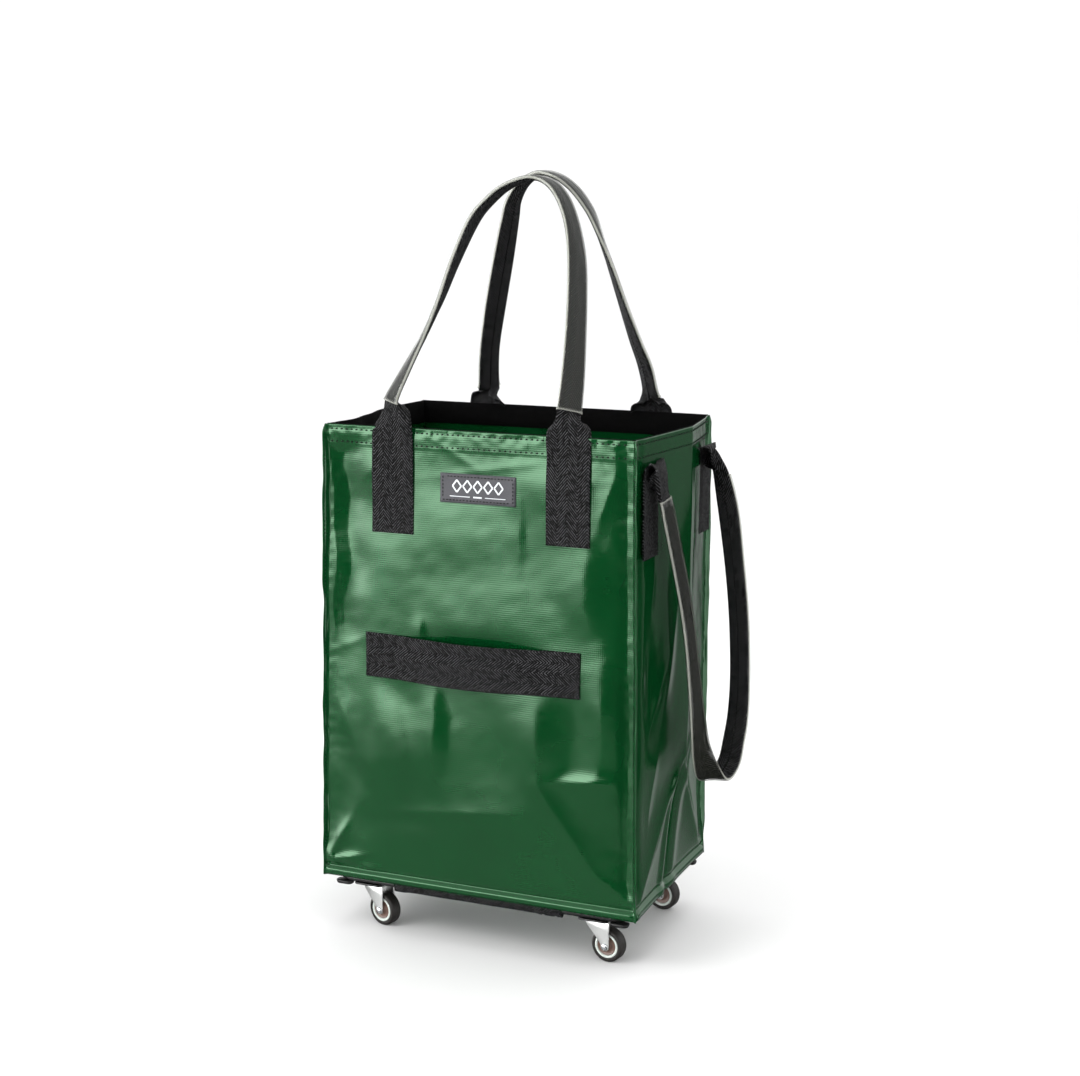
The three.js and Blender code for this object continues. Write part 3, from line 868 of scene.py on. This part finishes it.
def top_handle(which):
    in_front = which == "front"
    side = FRONT if in_front else REAR
    sample, normal = side
    ends = []
    for x, first in zip(PATCHES_X, (HANDLES[which][0], HANDLES[which][-1])):
        turn = 0 if in_front == (x < 0) else -180
        lean = -12 if (turn == 0) == in_front else 12
        sewn = [
            pressed_on(side, x, z, 1.0) + [turn, 0.0]
            for z in (PATCH_LOW, PATCH_LOW + 30, PATCH_LOW + 62, PATCH_TOP - 2)
        ]
        reach, rise = first[0] - x, first[2] - RIM_Z
        skin = sample(x, PATCH_TOP + 8)
        rim = sample(x, RIM_Z - 2)
        # place, off the middle, height, share of the lean, fold
        neck = (
            (x, skin + 1.4, PATCH_TOP + 9, 0.1, 0.05),
            (x, rim + 2.2, RIM_Z - 3, 0.4, 0.27),
            (x + reach * 0.3, rim + 2.2, RIM_Z + rise * 0.33, 1.2, 0.44),
            (x + reach * 0.65, rim + 1.2, RIM_Z + rise * 0.66, 1.6, 0.62),
        )
        neck = [[px, normal[1] * off, z, turn + lean * k, fold] for px, off, z, k, fold in neck]
        ends.append(sewn + neck)
    middle = [station + [1.0] for station in HANDLES[which]]
    stations = ends[0] + middle + ends[1][::-1]
    handle = f"{which}_handle"
    piece, path, run = webbing_strip(f"{handle}_strap", stations, 1)
    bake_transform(piece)
    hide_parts(f"{handle}_left_patch", f"{handle}_right_patch", f"{handle}_webbing")
    inside = np.flatnonzero(path[:, 2] > (611 if in_front else 604))
    sleeve_tube(handle, path, run, inside[0], inside[-1])


top_handle("front")
top_handle("rear")


def side_handle():
    hanging = [
        [204, -79, 527, 88, 0.8],
        [207.5, -77, 510, 87, 1.0],
        [209, -73, 496, 86, 1.0],
        [214, -61, 451, 86, 1.0],
        [219, -50, 406, 86, 1.0],
        [224, -45, 361, 87, 1.0],
        [228, -42, 317, 84, 1.0],
        [231, -37, 271, 77, 1.0],
        [233, -29, 232, 64, 1.0],
        [236, -10, 202, 38, 1.0],
        [240, 12, 194, 8, 1.0],
        [244.6, 32, 206, -8, 1.0],
        [247.4, 40, 230, -13, 1.0],
        [250, 45, 258, -16, 1.0],
        [250, 50, 297, -20, 1.0],
        [247, 56, 342, -20, 1.0],
        [242, 62, 386, -20, 1.0],
        [235, 68, 430, -20, 1.0],
        [227, 74, 474, -16, 1.0],
        [221, 77, 501, -20, 1.0],
        [215, 78, 526, -32, 0.9],
        [209, 78.5, 541, -46, 0.6],
    ]
    ends = []
    for y, turn in zip(SIDE_PATCHES_Y, (90, -90)):
        sewn = [
            pressed_on(RIGHT, y, z, 1.2) + [turn, 0.0]
            for z in (SIDE_PATCH_LOW, SIDE_PATCH_LOW + 30, SIDE_PATCH_LOW + 60, SIDE_PATCH_TOP - 8)
        ]
        base = sewn[-1][0]
        over = [
            [base + 0.8, y, SIDE_PATCH_TOP + 1, turn, 0.0],
            [base + 5.0, y + (1.5 if turn > 0 else 0), SIDE_PATCH_TOP + 5.5, turn * 0.97, 0.2],
        ]
        if turn > 0:
            over.append([base + 10, y + 4, SIDE_PATCH_TOP - 6, turn, 0.5])
        else:
            over.append([base + 11, y, SIDE_PATCH_TOP + 3, turn * 0.72, 0.4])
        ends.append(sewn + over)
    stations = ends[0] + hanging + ends[1][::-1]
    piece, path, run = webbing_strip("side_handle_strap", stations, -1)
    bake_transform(piece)
    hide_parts("side_handle_front_patch", "side_handle_rear_patch", "side_handle_webbing")
    low = int(np.argmin(path[:, 2]))
    first = [k for k in range(low) if path[k, 0] > 205 and path[k, 2] < 519][0]
    last = [k for k in range(low, len(path)) if path[k, 0] > 215 and path[k, 2] < 525][-1]
    sleeve_tube("side_handle", path, run, first, last)


side_handle()


def grab_strap(which):
    sample, (_, sign) = FRONT if which == "front" else REAR
    free = GRAB_HALF - GRAB_SEWN
    x = np.linspace(-GRAB_HALF, GRAB_HALF, 86)
    s = np.linspace(-WEB_W / 2, WEB_W / 2, 18)
    places = np.zeros((len(x), len(s), 3))
    ends = [np.mean([sample(e * free, GRAB_Z + dz) for dz in (-20, 0, 20)]) for e in (-1, 1)]
    for i, px in enumerate(x):
        inside = min(1.0, abs(px) / free)
        bow = GRAB_BOW * math.cos(inside * math.pi / 2) ** 1.6
        chord = np.interp(px, (-free, free), ends)
        sewn = smoothstep(inside, 0.75, 1.0)
        sag = -1.5 * math.cos(inside * math.pi / 2)
        for k, ds in enumerate(s):
            skin = sample(px, GRAB_Z + ds) + 1.1
            clear = max(skin, chord + 1.1 + bow)
            off = clear * (1 - sewn) + skin * sewn
            places[i, k] = (px, sign * off, GRAB_Z + ds + sag)
    if sign > 0:
        places = places[::-1]
    u = np.repeat(s[None, :], len(x), 0)
    v = np.repeat((x[::sign * -1])[:, None], len(s), 1)
    piece = grid_object(f"{which}_grab_webbing", places, np.stack((u, v), -1) * MM, WEBBING)
    thickened(piece, WEB_T)
    keep(piece, "bag", "black_webbing", f"{which}_grab_strap")


grab_strap("front")
grab_strap("rear")


# ---- Stitches ----
class Stitches:
    """Short raised threads, gathered into one mesh."""

    # share of the length, share of the thickness, lift
    SECTIONS = ((0.0, 0.45, 0.0), (0.2, 1.0, 0.8), (0.8, 1.0, 0.8), (1.0, 0.45, 0.0))

    def __init__(self):
        self.vertices, self.faces = [], []

    def one(self, a, b, normal, thick):
        a, b = Vector(a), Vector(b)
        side = (b - a).normalized().cross(normal).normalized()
        start = len(self.vertices)
        for t, size, lift in self.SECTIONS:
            middle = a.lerp(b, t) + normal * thick * 0.35 * lift
            for k in range(6):
                angle = TAU * k / 6
                offset = side * math.cos(angle) + normal * math.sin(angle)
                self.vertices.append(world(middle + offset * thick / 2 * size))
        for p in (start, start + 6, start + 12):
            for k in range(6):
                m = (k + 1) % 6
                self.faces.append((p + k, p + m, p + 6 + m, p + 6 + k))
        self.faces.append(tuple(start + k for k in range(5, -1, -1)))
        self.faces.append(tuple(start + 18 + k for k in range(6)))

    def run(self, places, normals, pitch, share, thick):
        places = np.asarray(places, float)
        normals = np.asarray(normals, float)
        run = running(places)
        for n in range(int(run[-1] / pitch)):
            at = (n * pitch, (n + share) * pitch)
            a, b = ([np.interp(t, run, places[:, k]) for k in range(3)] for t in at)
            normal = [np.interp(at[0], run, normals[:, k]) for k in range(3)]
            self.one(a, b, Vector(normal).normalized(), thick)

    def finish(self, name, material, slot):
        keep(mesh_object(name, self.vertices, self.faces, material), "bag", slot)


def panel_line(side, a, b, stand, count):
    """Places on a side from a to b, each a pair of place along it and height."""
    normal = side[1]
    if normal[1]:
        corners = [np.array((e * (HALF_W - 4), normal[1] * HALF_D, a[1])) for e in (-1, 1)]
        edges = [settled(corner)[0] for corner in corners]
        a, b = (np.clip(a[0], *edges), a[1]), (np.clip(b[0], *edges), b[1])
    places = []
    for t in np.linspace(0, 1, count):
        p, z = a[0] + (b[0] - a[0]) * t, a[1] + (b[1] - a[1]) * t
        places.append(pressed_on(side, p, z, stand))
    return places, [list(normal) + [0]] * count


seam = Stitches()
for side, rim_end, foot_end in (
    (FRONT, HALF_W + 9, HALF_W + 9),
    (REAR, HALF_W + 9, HALF_W + 9),
    (RIGHT, HALF_D - 5, HALF_D - 3),
    (LEFT, HALF_D - 5, HALF_D - 3),
):
    for z in (RIM_Z - 5, RIM_Z - 19):
        line = panel_line(side, (-rim_end, z), (rim_end, z), 0.1, 110)
        seam.run(*line, pitch=6.2, share=0.4, thick=1.6)
    z = FLOOR_Z + 1.4
    line = panel_line(side, (-foot_end, z), (foot_end, z), 0.1, 90)
    seam.run(*line, pitch=3.8, share=0.5, thick=0.7)
for sx in (-1, 1):
    for sy in (-1, 1):
        places, normals = [], []
        for z in np.linspace(FLOOR_Z + 12, RIM_Z - 3, 90):
            hx, hy = half_sizes(z)
            corner = settled(np.array((sx * (hx + 1.6), sy * (hy + 1.6), z)))
            places.append(corner + np.array((-0.9 * sx, 0.9 * sy, 0)))
            normals.append((-0.7 * sx, 0.7 * sy, 0))
        seam.run(places, normals, pitch=4.4, share=0.5, thick=0.6)
seam.finish("seam_stitches", THREAD, "green_cloth")

sewn = Stitches()


def sew(side, corners, stand):
    for a, b in zip(corners, corners[1:]):
        line = panel_line(side, a, b, stand, 24)
        sewn.run(*line, pitch=3.4, share=0.6, thick=0.75)


def sew_foot(side, place, bottom, stand):
    """Across a patch's lower end and a little way up both its sides."""
    low, w = bottom + 4, WEB_W / 2 - 3.5
    corners = ((place - w, low + 12), (place - w, low), (place + w, low), (place + w, low + 12))
    sew(side, corners, stand)


for side in (FRONT, REAR):
    for x in PATCHES_X:
        sew_foot(side, x, PATCH_LOW, 2.0)
        top, w = PATCH_TOP - 3, WEB_W / 2 - 3.5
        sew(side, ((x - w, top), (x + w, top)), 2.1)
    for sign in (-1, 1):
        a, b = sign * (GRAB_HALF - 3.5), sign * (GRAB_HALF - 25)
        lo, hi = GRAB_Z - 21, GRAB_Z + 21
        sew(side, ((a, lo), (b, lo), (b, hi), (a, hi), (a, lo), (b, hi)), 2.1)
        sew(side, ((a, hi), (b, lo)), 2.1)
for y in SIDE_PATCHES_Y:
    sew_foot(RIGHT, y, SIDE_PATCH_LOW, 2.2)
sewn.finish("webbing_stitches", BLACK_THREAD, "black_webbing")


# ---- Label ----
BOX_FACES = (
    (0, 1, 2, 3), (7, 6, 5, 4), (0, 4, 5, 1), (1, 5, 6, 2), (2, 6, 7, 3), (3, 7, 4, 0),
)


def label():
    lo, hi = box_mm("label_patch")
    cx, cz = (lo[0] + hi[0]) / 2, (lo[2] + hi[2]) / 2
    w, h = (hi[0] - lo[0]) / 2, (hi[2] - lo[2]) / 2
    places = np.zeros((16, 40, 3))
    for j, dz in enumerate(np.linspace(-h, h, 16)):
        for i, dx in enumerate(np.linspace(-w, w, 40)):
            edge = min(w - abs(dx), h - abs(dz))
            lift = 1.0 + 0.35 * smoothstep(edge, 0, 1.5) - 0.25 * hill(edge, 3.2, 0.9)
            places[j, i] = pressed_on(FRONT, cx + dx, cz + dz, lift)
    uv = np.stack((places[:, :, 0], places[:, :, 2]), -1) * MM
    piece = grid_object("plain_label", places, uv, LEATHER)
    thickened(piece, 1.1, -1.0)
    keep(piece, "bag", "label_leather", "label_patch")
    edge = Stitches()
    a, b, c, d = cx - w + 3.2, cx + w - 3.2, cz - h + 3.2, cz + h - 3.2
    corners = ((a, c), (b, c), (b, d), (a, d), (a, c))
    for p, q in zip(corners, corners[1:]):
        line = panel_line(FRONT, p, q, 1.35, 20)
        edge.run(*line, pitch=4.0, share=0.62, thick=1.3)
    edge.finish("label_stitches", BLACK_THREAD, "label_leather")
    # a generic mark: a row of open diamonds over a broken rule
    bm = bmesh.new()

    def bar(p, q, thick):
        a, b = (Vector(pressed_on(FRONT, *end, 1.62)) for end in (p, q))
        side = (b - a).normalized().cross(Vector((0, -1, 0))).normalized() * thick / 2
        back = [a - side, b - side, b + side, a + side]
        front = [v + Vector((0, -0.14, 0)) for v in back]
        corners = [bm.verts.new(world(v)) for v in back + front]
        for face in BOX_FACES:
            bm.faces.new([corners[k] for k in face])

    for k in range(5):
        x, z, rx, rz = cx + (k - 2) * 12.4, cz + 2.6, 5.2, 6.6
        points = ((x - rx, z), (x, z + rz), (x + rx, z), (x, z - rz), (x - rx, z))
        for p, q in zip(points, points[1:]):
            bar(p, q, 1.7)
    rule = cz - 8.6
    for side in (-1, 1):
        bar((cx + side * 9, rule), (cx + side * 33, rule), 0.8)
    bar((cx - 5, rule), (cx + 5, rule), 1.6)
    keep(from_bmesh("label_mark", bm, PRINT, smooth=False), "bag", "label_leather")


label()


# ---- Frame ----
def arc(cx, cy, r, start, end, steps):
    angles = [math.radians(start + (end - start) * k / steps) for k in range(steps + 1)]
    return [(cx + r * math.cos(a), cy + r * math.sin(a)) for a in angles]


def rounded_outline(half_x, half_y, r, steps):
    """A rectangle with rounded corners round the origin."""
    places = []
    for sx, sy, start in ((1, -1, -90), (1, 1, 0), (-1, 1, 90), (-1, -1, 180)):
        places += arc(sx * (half_x - r), sy * (half_y - r), r, start, start + 90, steps)
    return places


def ring_faces(bm, a, b):
    """Quads between two rings of vertices, or a fan where one ring is a single vertex."""
    for i in range(max(len(a), len(b))):
        j = i + 1
        face = [a[i % len(a)], a[j % len(a)], b[j % len(b)], b[i % len(b)]]
        bm.faces.new(list(dict.fromkeys(face)))


def rod(name, places, radius, closed=False):
    places = [Vector(p) for p in places]
    count = len(places)
    bm = bmesh.new()
    rings = []
    for k, p in enumerate(places):
        if closed:
            along = places[(k + 1) % count] - places[k - 1]
        else:
            along = places[min(k + 1, count - 1)] - places[max(k - 1, 0)]
        along.normalize()
        side = along.cross(Vector((0, 0, 1))).normalized()
        above = side.cross(along)
        turns = arc(0, 0, radius, 0, 360, 20)[:-1]
        rings.append([bm.verts.new(world(p + side * x + above * y)) for x, y in turns])
    for k in range(count if closed else count - 1):
        ring_faces(bm, rings[k], rings[(k + 1) % count])
    if not closed:
        bm.faces.new(rings[0])
        bm.faces.new(rings[-1][::-1])
    return from_bmesh(name, bm, BLACK_STEEL)


def frame_parts():
    lo, hi = box_mm("frame_loop")
    z, r = (lo[2] + hi[2]) / 2, 3.95
    fx, fy = (hi[0] - lo[0]) / 2 - r, (hi[1] - lo[1]) / 2 - r
    places = [(x, y, z) for x, y in rounded_outline(fx, fy, 17, 8)]
    keep(rod("frame_rod", places, r, closed=True), "bag", "black_steel", "frame_loop")
    for hand in ("left", "right"):
        lo, hi = box_mm(f"frame_{hand}_bar")
        x, y = (lo[0] + hi[0]) / 2, hi[1]
        bar = rod(f"cross_rod_{hand}", [(x, -y, z), (x, 0, z), (x, y, z)], r)
        keep(bar, "bag", "black_steel", f"frame_{hand}_bar")
        # weld beads where the bar meets the loop
        for end, sy in (("front", -1), ("rear", 1)):
            bm = bmesh.new()
            bmesh.ops.create_icosphere(bm, subdivisions=2, radius=1)
            draw = np.random.RandomState(7)
            for v in bm.verts:
                wide = 5.2 * (1 + 0.1 * draw.rand())
                tall = 3.9 * (1 + 0.1 * draw.rand())
                place = (x + v.co.x * wide, sy * (y - 0.5) + v.co.y * 2.6, z + v.co.z * tall)
                v.co = world(place)
            keep(from_bmesh(f"weld_{end}_{hand}", bm, BLACK_STEEL), "bag", "black_steel")


frame_parts()


def rounded_block(name, lo, hi, corner, material, soften, taper=0.0):
    """A flat piece with rounded corners in plan and softened edges, in metres."""
    cx, cy = (lo[0] + hi[0]) / 2, (lo[1] + hi[1]) / 2
    outline = rounded_outline((hi[0] - lo[0]) / 2, (hi[1] - lo[1]) / 2, corner * MM, 6)
    bm = bmesh.new()
    small = 1 - taper
    lower = [bm.verts.new((cx + x * small, cy + y * small, lo[2])) for x, y in outline]
    upper = [bm.verts.new((cx + x, cy + y, hi[2])) for x, y in outline]
    bm.faces.new(lower[::-1])
    bm.faces.new(upper)
    ring_faces(bm, lower, upper)
    return bevelled(from_bmesh(name, bm, material), soften)


for corner in CORNERS:
    lo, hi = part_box(f"{corner}_corner_pad")
    pad = rounded_block(f"{corner}_pad_soft", lo, hi, 5.5, BLACK_PLASTIC, 1.2, 0.12)
    keep(pad, "bag", "black_plastic", f"{corner}_corner_pad")


def frame_sleeve(which):
    """Webbing wrapped round the rod, its ends doubled and sewn."""
    lo, hi = box_mm(f"{which}_frame_sleeve")
    x0, x1 = lo[0], hi[0]
    y, z = (lo[1] + hi[1]) / 2, 59.0
    wrapped = [(-math.cos(a) * 5.3, -math.sin(a) * 7.6) for a in np.radians(np.linspace(-10, 190, 17))]
    section = [(-4.9, 5.4), (-5.2, 3.0)] + wrapped[1:-1] + [(5.2, 3.0), (4.9, 5.4)]
    section = np.array(section)
    run = running(section)
    xs = np.linspace(x0, x1, 84)
    rows = []
    for x in xs:
        swell = 1 + 0.1 * (smoothstep(x, x1 - 30, x1 - 26) + smoothstep(-x, -x0 - 19, -x0 - 16))
        pinch = 1 - 0.16 * (hill(x, x1 - 22, 1.2) + hill(x, x0 + 16, 1.2) + hill(x, x1 - 8, 1.2))
        k = swell * pinch + 0.012 * math.sin(x / 9.0)
        height = np.where(section[:, 1] < 3, section[:, 1] * k, section[:, 1])
        rows.append(np.stack((np.full(len(run), x), y + section[:, 0] * k, z + height), 1))
    u = np.repeat(run[None, :], len(xs), 0)
    v = np.repeat(xs[:, None], len(run), 1)
    places, uvs = np.stack(rows)[:, ::-1], np.stack((u, v), -1) * MM
    piece = grid_object(f"{which}_frame_webbing", places, uvs, WEBBING)
    thickened(piece, 1.3, 1.0)
    keep(piece, "bag", "black_webbing", f"{which}_frame_sleeve")


frame_sleeve("front")
frame_sleeve("rear")


# ---- Casters ----
def lathe(name, profile, segments, matrix, material, closed=False):
    """A profile of radius and height turned about Z, then placed by the matrix.
    Units are millimetres from the matrix's own origin."""
    bm = bmesh.new()
    rings = []
    for radius, height in profile:
        turns = arc(0, 0, radius, 0, 360, segments)[:-1] if radius else [(0, 0)]
        rings.append([bm.verts.new(matrix @ Vector((x, y, height))) for x, y in turns])
    for a, b in zip(rings, rings[1:] + rings[:1] if closed else rings[1:]):
        ring_faces(bm, a, b)
    return from_bmesh(name, bm, material)


def mirrored(profile):
    """A profile from its low end to the middle, and back up to the high end."""
    return profile + [(r, -z) for r, z in profile[::-1]]


WHEEL_R, WHEEL_HALF = 19.0, 7.5
TRAIL = 10.0  # from the king pin to the axle
CROWN_TOP = 49.2
SHEET_T = 1.75
LEG_Y = WHEEL_HALF + 1.3


def fork_piece(name, matrix):
    """Two pressed legs and a crown of one bent sheet."""
    bm = bmesh.new()
    # the leg's outline, down its front edge, round the eye and up behind
    outline = [(-15.0, CROWN_TOP - 2.0), (-14.6, CROWN_TOP - 6)]
    p0, p1, p2, p3 = (-14.4, CROWN_TOP - 7), (-9.5, CROWN_TOP - 13), (-2.0, 31.0), (4.9, 21.0)
    for k in range(1, 13):
        s = k / 12
        outline.append(tuple(
            (1 - s) ** 3 * a + 3 * (1 - s) ** 2 * s * b + 3 * (1 - s) * s * s * c + s**3 * d
            for a, b, c, d in zip(p0, p1, p2, p3)))
    outline += arc(TRAIL, WHEEL_R, 5.0, 178, 358, 14)
    outline += [(15.0, WHEEL_R + 8), (15.0, CROWN_TOP - 12), (15.0, CROWN_TOP - 2.0)]
    for sign in (-1, 1):
        inner, outer = [], []
        for x, z in outline:
            # pressed inwards a little towards the front
            bend = 1.3 * max(0.0, (-x - 1.0) / 13.0)
            for y, ring in ((LEG_Y - bend, inner), (LEG_Y + SHEET_T - bend, outer)):
                ring.append(bm.verts.new((x, sign * y, z)))
        bm.faces.new(inner)
        bm.faces.new(outer[::-1])
        ring_faces(bm, inner, outer)
    # crown: a plate with rounded bends to the legs
    bend_y, bend_z, bend_r = LEG_Y + SHEET_T - 2.4, CROWN_TOP - 2.4, 2.4
    section = arc(bend_y, bend_z, bend_r, 90, 0, 8)
    top = [(-y, z) for y, z in section[::-1]] + section
    under = [(y * LEG_Y / (LEG_Y + SHEET_T), z - SHEET_T) for y, z in top]
    loops = []
    for x in (-15.0, 15.0):
        loops.append([bm.verts.new((x, y, z)) for y, z in top + under[::-1]])
    ring_faces(bm, *loops)
    count = len(top)
    for loop in loops:
        for k in range(count - 1):
            bm.faces.new((loop[k], loop[k + 1], loop[-2 - k], loop[-1 - k]))
    for v in bm.verts:
        v.co = matrix @ v.co
    return bevelled(from_bmesh(name, bm, ZINC), 0.45, 40)


def tread_profile():
    w = WHEEL_HALF
    low = [(14.3, -w + 0.9), (15.0, -w + 0.35), (16.2, -w)]
    low += arc(WHEEL_R - 3.4, -w + 3.4, 3.4, -90, -8, 8) + [(WHEEL_R, -1.5)]
    return mirrored(low)


def rivet_profile():
    """An axle with a domed head at each end, lying flat against the legs."""
    inside, head = LEG_Y + SHEET_T, 4.1
    angles = np.linspace(0.2, math.pi / 2, 8)
    domed = [(head * math.cos(a), inside + 0.45 + 1.75 * math.sin(a)) for a in angles]
    half = [(2.4, inside), (head, inside + 0.05), (head, inside + 0.45)] + domed
    half[-1] = (0.0, half[-1][1])
    return [(r, -z) for r, z in half[::-1]] + half


LOW = -WHEEL_HALF
RACE = [(4.6, 49.6), (9.4, 49.6), (10.6, 50.0), (11.4, 50.9), (11.8, 52.4), (4.6, 52.4)]
PIN = [
    (0, 44.6), (3.4, 44.7), (5.2, 45.3), (6.3, 46.3), (6.4, 47.1), (4.0, 47.2), (4.0, 53.8),
    (3.4, 54.3), (0, 54.4),
]
PALE_RING = mirrored([
    (11.3, LOW + 1.2), (11.7, LOW + 0.55), (12.6, LOW + 0.4), (13.6, LOW + 0.5), (14.1, LOW + 0.9),
])
HUB_PROFILE = mirrored([
    (2.9, LOW - 0.2), (5.0, LOW - 0.2), (5.6, LOW + 0.3), (6.1, LOW + 1.3), (7.2, LOW + 2.0),
    (9.4, LOW + 2.0), (10.2, LOW + 1.5), (10.9, LOW + 1.4),
])


def middle(node):
    lo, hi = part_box(node)
    return (lo[0] + hi[0]) / 2, (lo[1] + hi[1]) / 2


def caster(corner):
    own = f"{corner}_caster"
    axis = Vector((*middle(f"{own}_king_pin"), 0))
    axle = Vector((*middle(f"{own}_axle"), WHEEL_R * MM))
    turn = math.atan2(axle.y - axis.y, axle.x - axis.x)
    scale = Matrix.Scale(MM, 4)
    turned = Matrix.Rotation(turn, 4, "Z")
    upright = Matrix.Translation(axis) @ scale
    swivel = Matrix.Translation(axis) @ turned @ scale
    wheel = Matrix.Translation(axle) @ turned @ Matrix.Rotation(math.pi / 2, 4, "X") @ scale
    lo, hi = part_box(f"{own}_plate")
    plate = rounded_block(f"{corner}_mount_plate", (lo[0], lo[1], 0.0525), hi, 5, BLACK_STEEL, 0.6)
    keep(plate, "bag", "black_steel", f"{own}_plate")
    race = lathe(f"{corner}_ball_race", RACE, 40, upright, BLACK_STEEL, closed=True)
    keep(race, "bag", "black_steel")
    fork = fork_piece(f"{corner}_fork_sheet", swivel)
    pin = lathe(f"{corner}_pin_head", PIN, 32, upright, ZINC)
    rivet = lathe(f"{corner}_axle_rivet", rivet_profile(), 32, wheel, BRIGHT)
    for piece, node in ((fork, "fork"), (pin, "king_pin"), (rivet, "axle")):
        keep(piece, f"{own}_swivel", "zinc_steel", f"{own}_{node}")
    for name, profile, segments, material, slot, node in (
        ("tyre_tread", tread_profile(), 72, TYRE, "tyre", "tyre"),
        ("pale_ring", PALE_RING, 64, RING, "ring_plastic", "wheel_core"),
        ("wheel_hub", HUB_PROFILE, 56, HUB, "hub_plastic", "hub"),
    ):
        piece = lathe(f"{corner}_{name}", profile, segments, wheel, material, closed=True)
        keep(piece, f"{own}_wheel", slot, f"{own}_{node}")


for corner in CORNERS:
    caster(corner)

board = frame["nodes"]["base_board"]
board.data.materials.clear()
board.data.materials.append(BOARD)

# ---- Floor, light and camera ----
bpy.ops.mesh.primitive_circle_add(vertices=96, radius=90, fill_type="NGON")
ground = bpy.context.object
ground.name = "studio_floor"
material, g = new_material("studio_floor")
g.surface(rgba(0.86, 0.86, 0.86), 0.85)
ground.data.materials.append(material)
ground.visible_glossy = False


def softbox(name, place, target, size, power, glossy):
    light = bpy.data.lights.new(name, "AREA")
    light.shape = "RECTANGLE"
    light.size, light.size_y = size
    light.energy = power
    holder = bpy.data.objects.new(name, light)
    bpy.context.collection.objects.link(holder)
    holder.location = place
    aim = Vector(target) - Vector(place)
    holder.rotation_euler = aim.to_track_quat("-Z", "Y").to_euler()
    holder.visible_glossy = glossy
    holder.visible_camera = False


softbox("key_light", (-1.6, -2.2, 2.6), (0, 0, 0.3), (1.6, 1.6), 34, False)
softbox("top_light", (0.3, 0.4, 3.2), (0, 0, 0.2), (2.6, 2.2), 30, True)

sky = bpy.data.worlds.new("studio")
sky.use_nodes = True
bpy.context.scene.world = sky
sky.cycles.sampling_method = "NONE"
g = Graph(sky.node_tree)
way = g.add("ShaderNodeSeparateXYZ")
g.put(g.add("ShaderNodeTexCoord").outputs["Generated"], way.inputs[0])
dx, dy, dz = way.outputs
azimuth = g.math("MULTIPLY", g.math("ARCTAN2", dx, g.math("MULTIPLY", dy, -1.0)), 180 / math.pi)
elevation = g.math("MULTIPLY", g.math("ARCSINE", dz), 180 / math.pi)


def window(value, low, high, soft):
    rise = g.step(value, low - soft, low + soft)
    fall = g.step(value, high - soft, high + soft, 1.0, 0.0)
    return g.math("MULTIPLY", rise, fall)


def panel(az_low, az_high, el_low, el_high, strength, soft=(2.0, 1.5)):
    wide = window(azimuth, az_low, az_high, soft[0])
    tall = window(elevation, el_low, el_high, soft[1])
    return g.math("MULTIPLY", g.math("MULTIPLY", wide, tall), strength)


# what the cloth mirrors: brighter and darker patches round the horizon, in degrees
dim, bright = g.step(elevation, -18.0, -11.0, 1.0, 1.2), g.step(elevation, -11.0, -4.0, 0.0, 4.6)
graded = g.math("ADD", dim, bright)
below = g.math("MULTIPLY", panel(-72, -17.5, -18.0, 1.0, 1.0), graded)
for patch in (
    panel(-80, 20, -60, -18.0, 0.45, (8.0, 2.0)),
    panel(60, 110, -22, 1.0, 2.2, (3.0, 2.0)),
    panel(126, 163, -60, 1.0, 0.17, (3.0, 4.0)),
    panel(163, 192, -60, 1.0, 0.42, (2.0, 4.0)),
    panel(-150, -110, -26, 1.0, 2.0, (3.0, 2.0)),
    0.03,
):
    below = g.math("ADD", below, patch)
above = g.step(elevation, -1.5, -0.9, 0.0, 1.08)
above = g.math("ADD", above, panel(-72, -16, -2.2, 16.0, 7.2, (2.0, 0.8)))
below = g.math("MULTIPLY", below, g.step(elevation, -1.6, -0.9, 1.0, 0.0))
light = g.math("MAXIMUM", above, below)
shade = g.add("ShaderNodeBackground")
g.put(rgba(1, 1, 1), shade.inputs["Color"])
g.put(light, shade.inputs["Strength"])
g.tree.links.new(shade.outputs[0], g.add("ShaderNodeOutputWorld").inputs["Surface"])

camera = bpy.data.cameras.new("camera")
camera.sensor_width = 36
camera.lens = 2000 / 1080 * 36
holder = bpy.data.objects.new("camera", camera)
bpy.context.collection.objects.link(holder)
az, reach, tilt = math.radians(24.34), 2.233, 0.182
yaw = az - 0.011
holder.location = (math.sin(az) * reach + XC, -math.cos(az) * reach, 0.860)
forward = Vector((-math.sin(yaw) * math.cos(tilt), math.cos(yaw) * math.cos(tilt), -math.sin(tilt)))
holder.rotation_euler = forward.to_track_quat("-Z", "Y").to_euler()
bpy.context.scene.camera = holder
bpy.context.scene.view_settings.view_transform = "Standard"
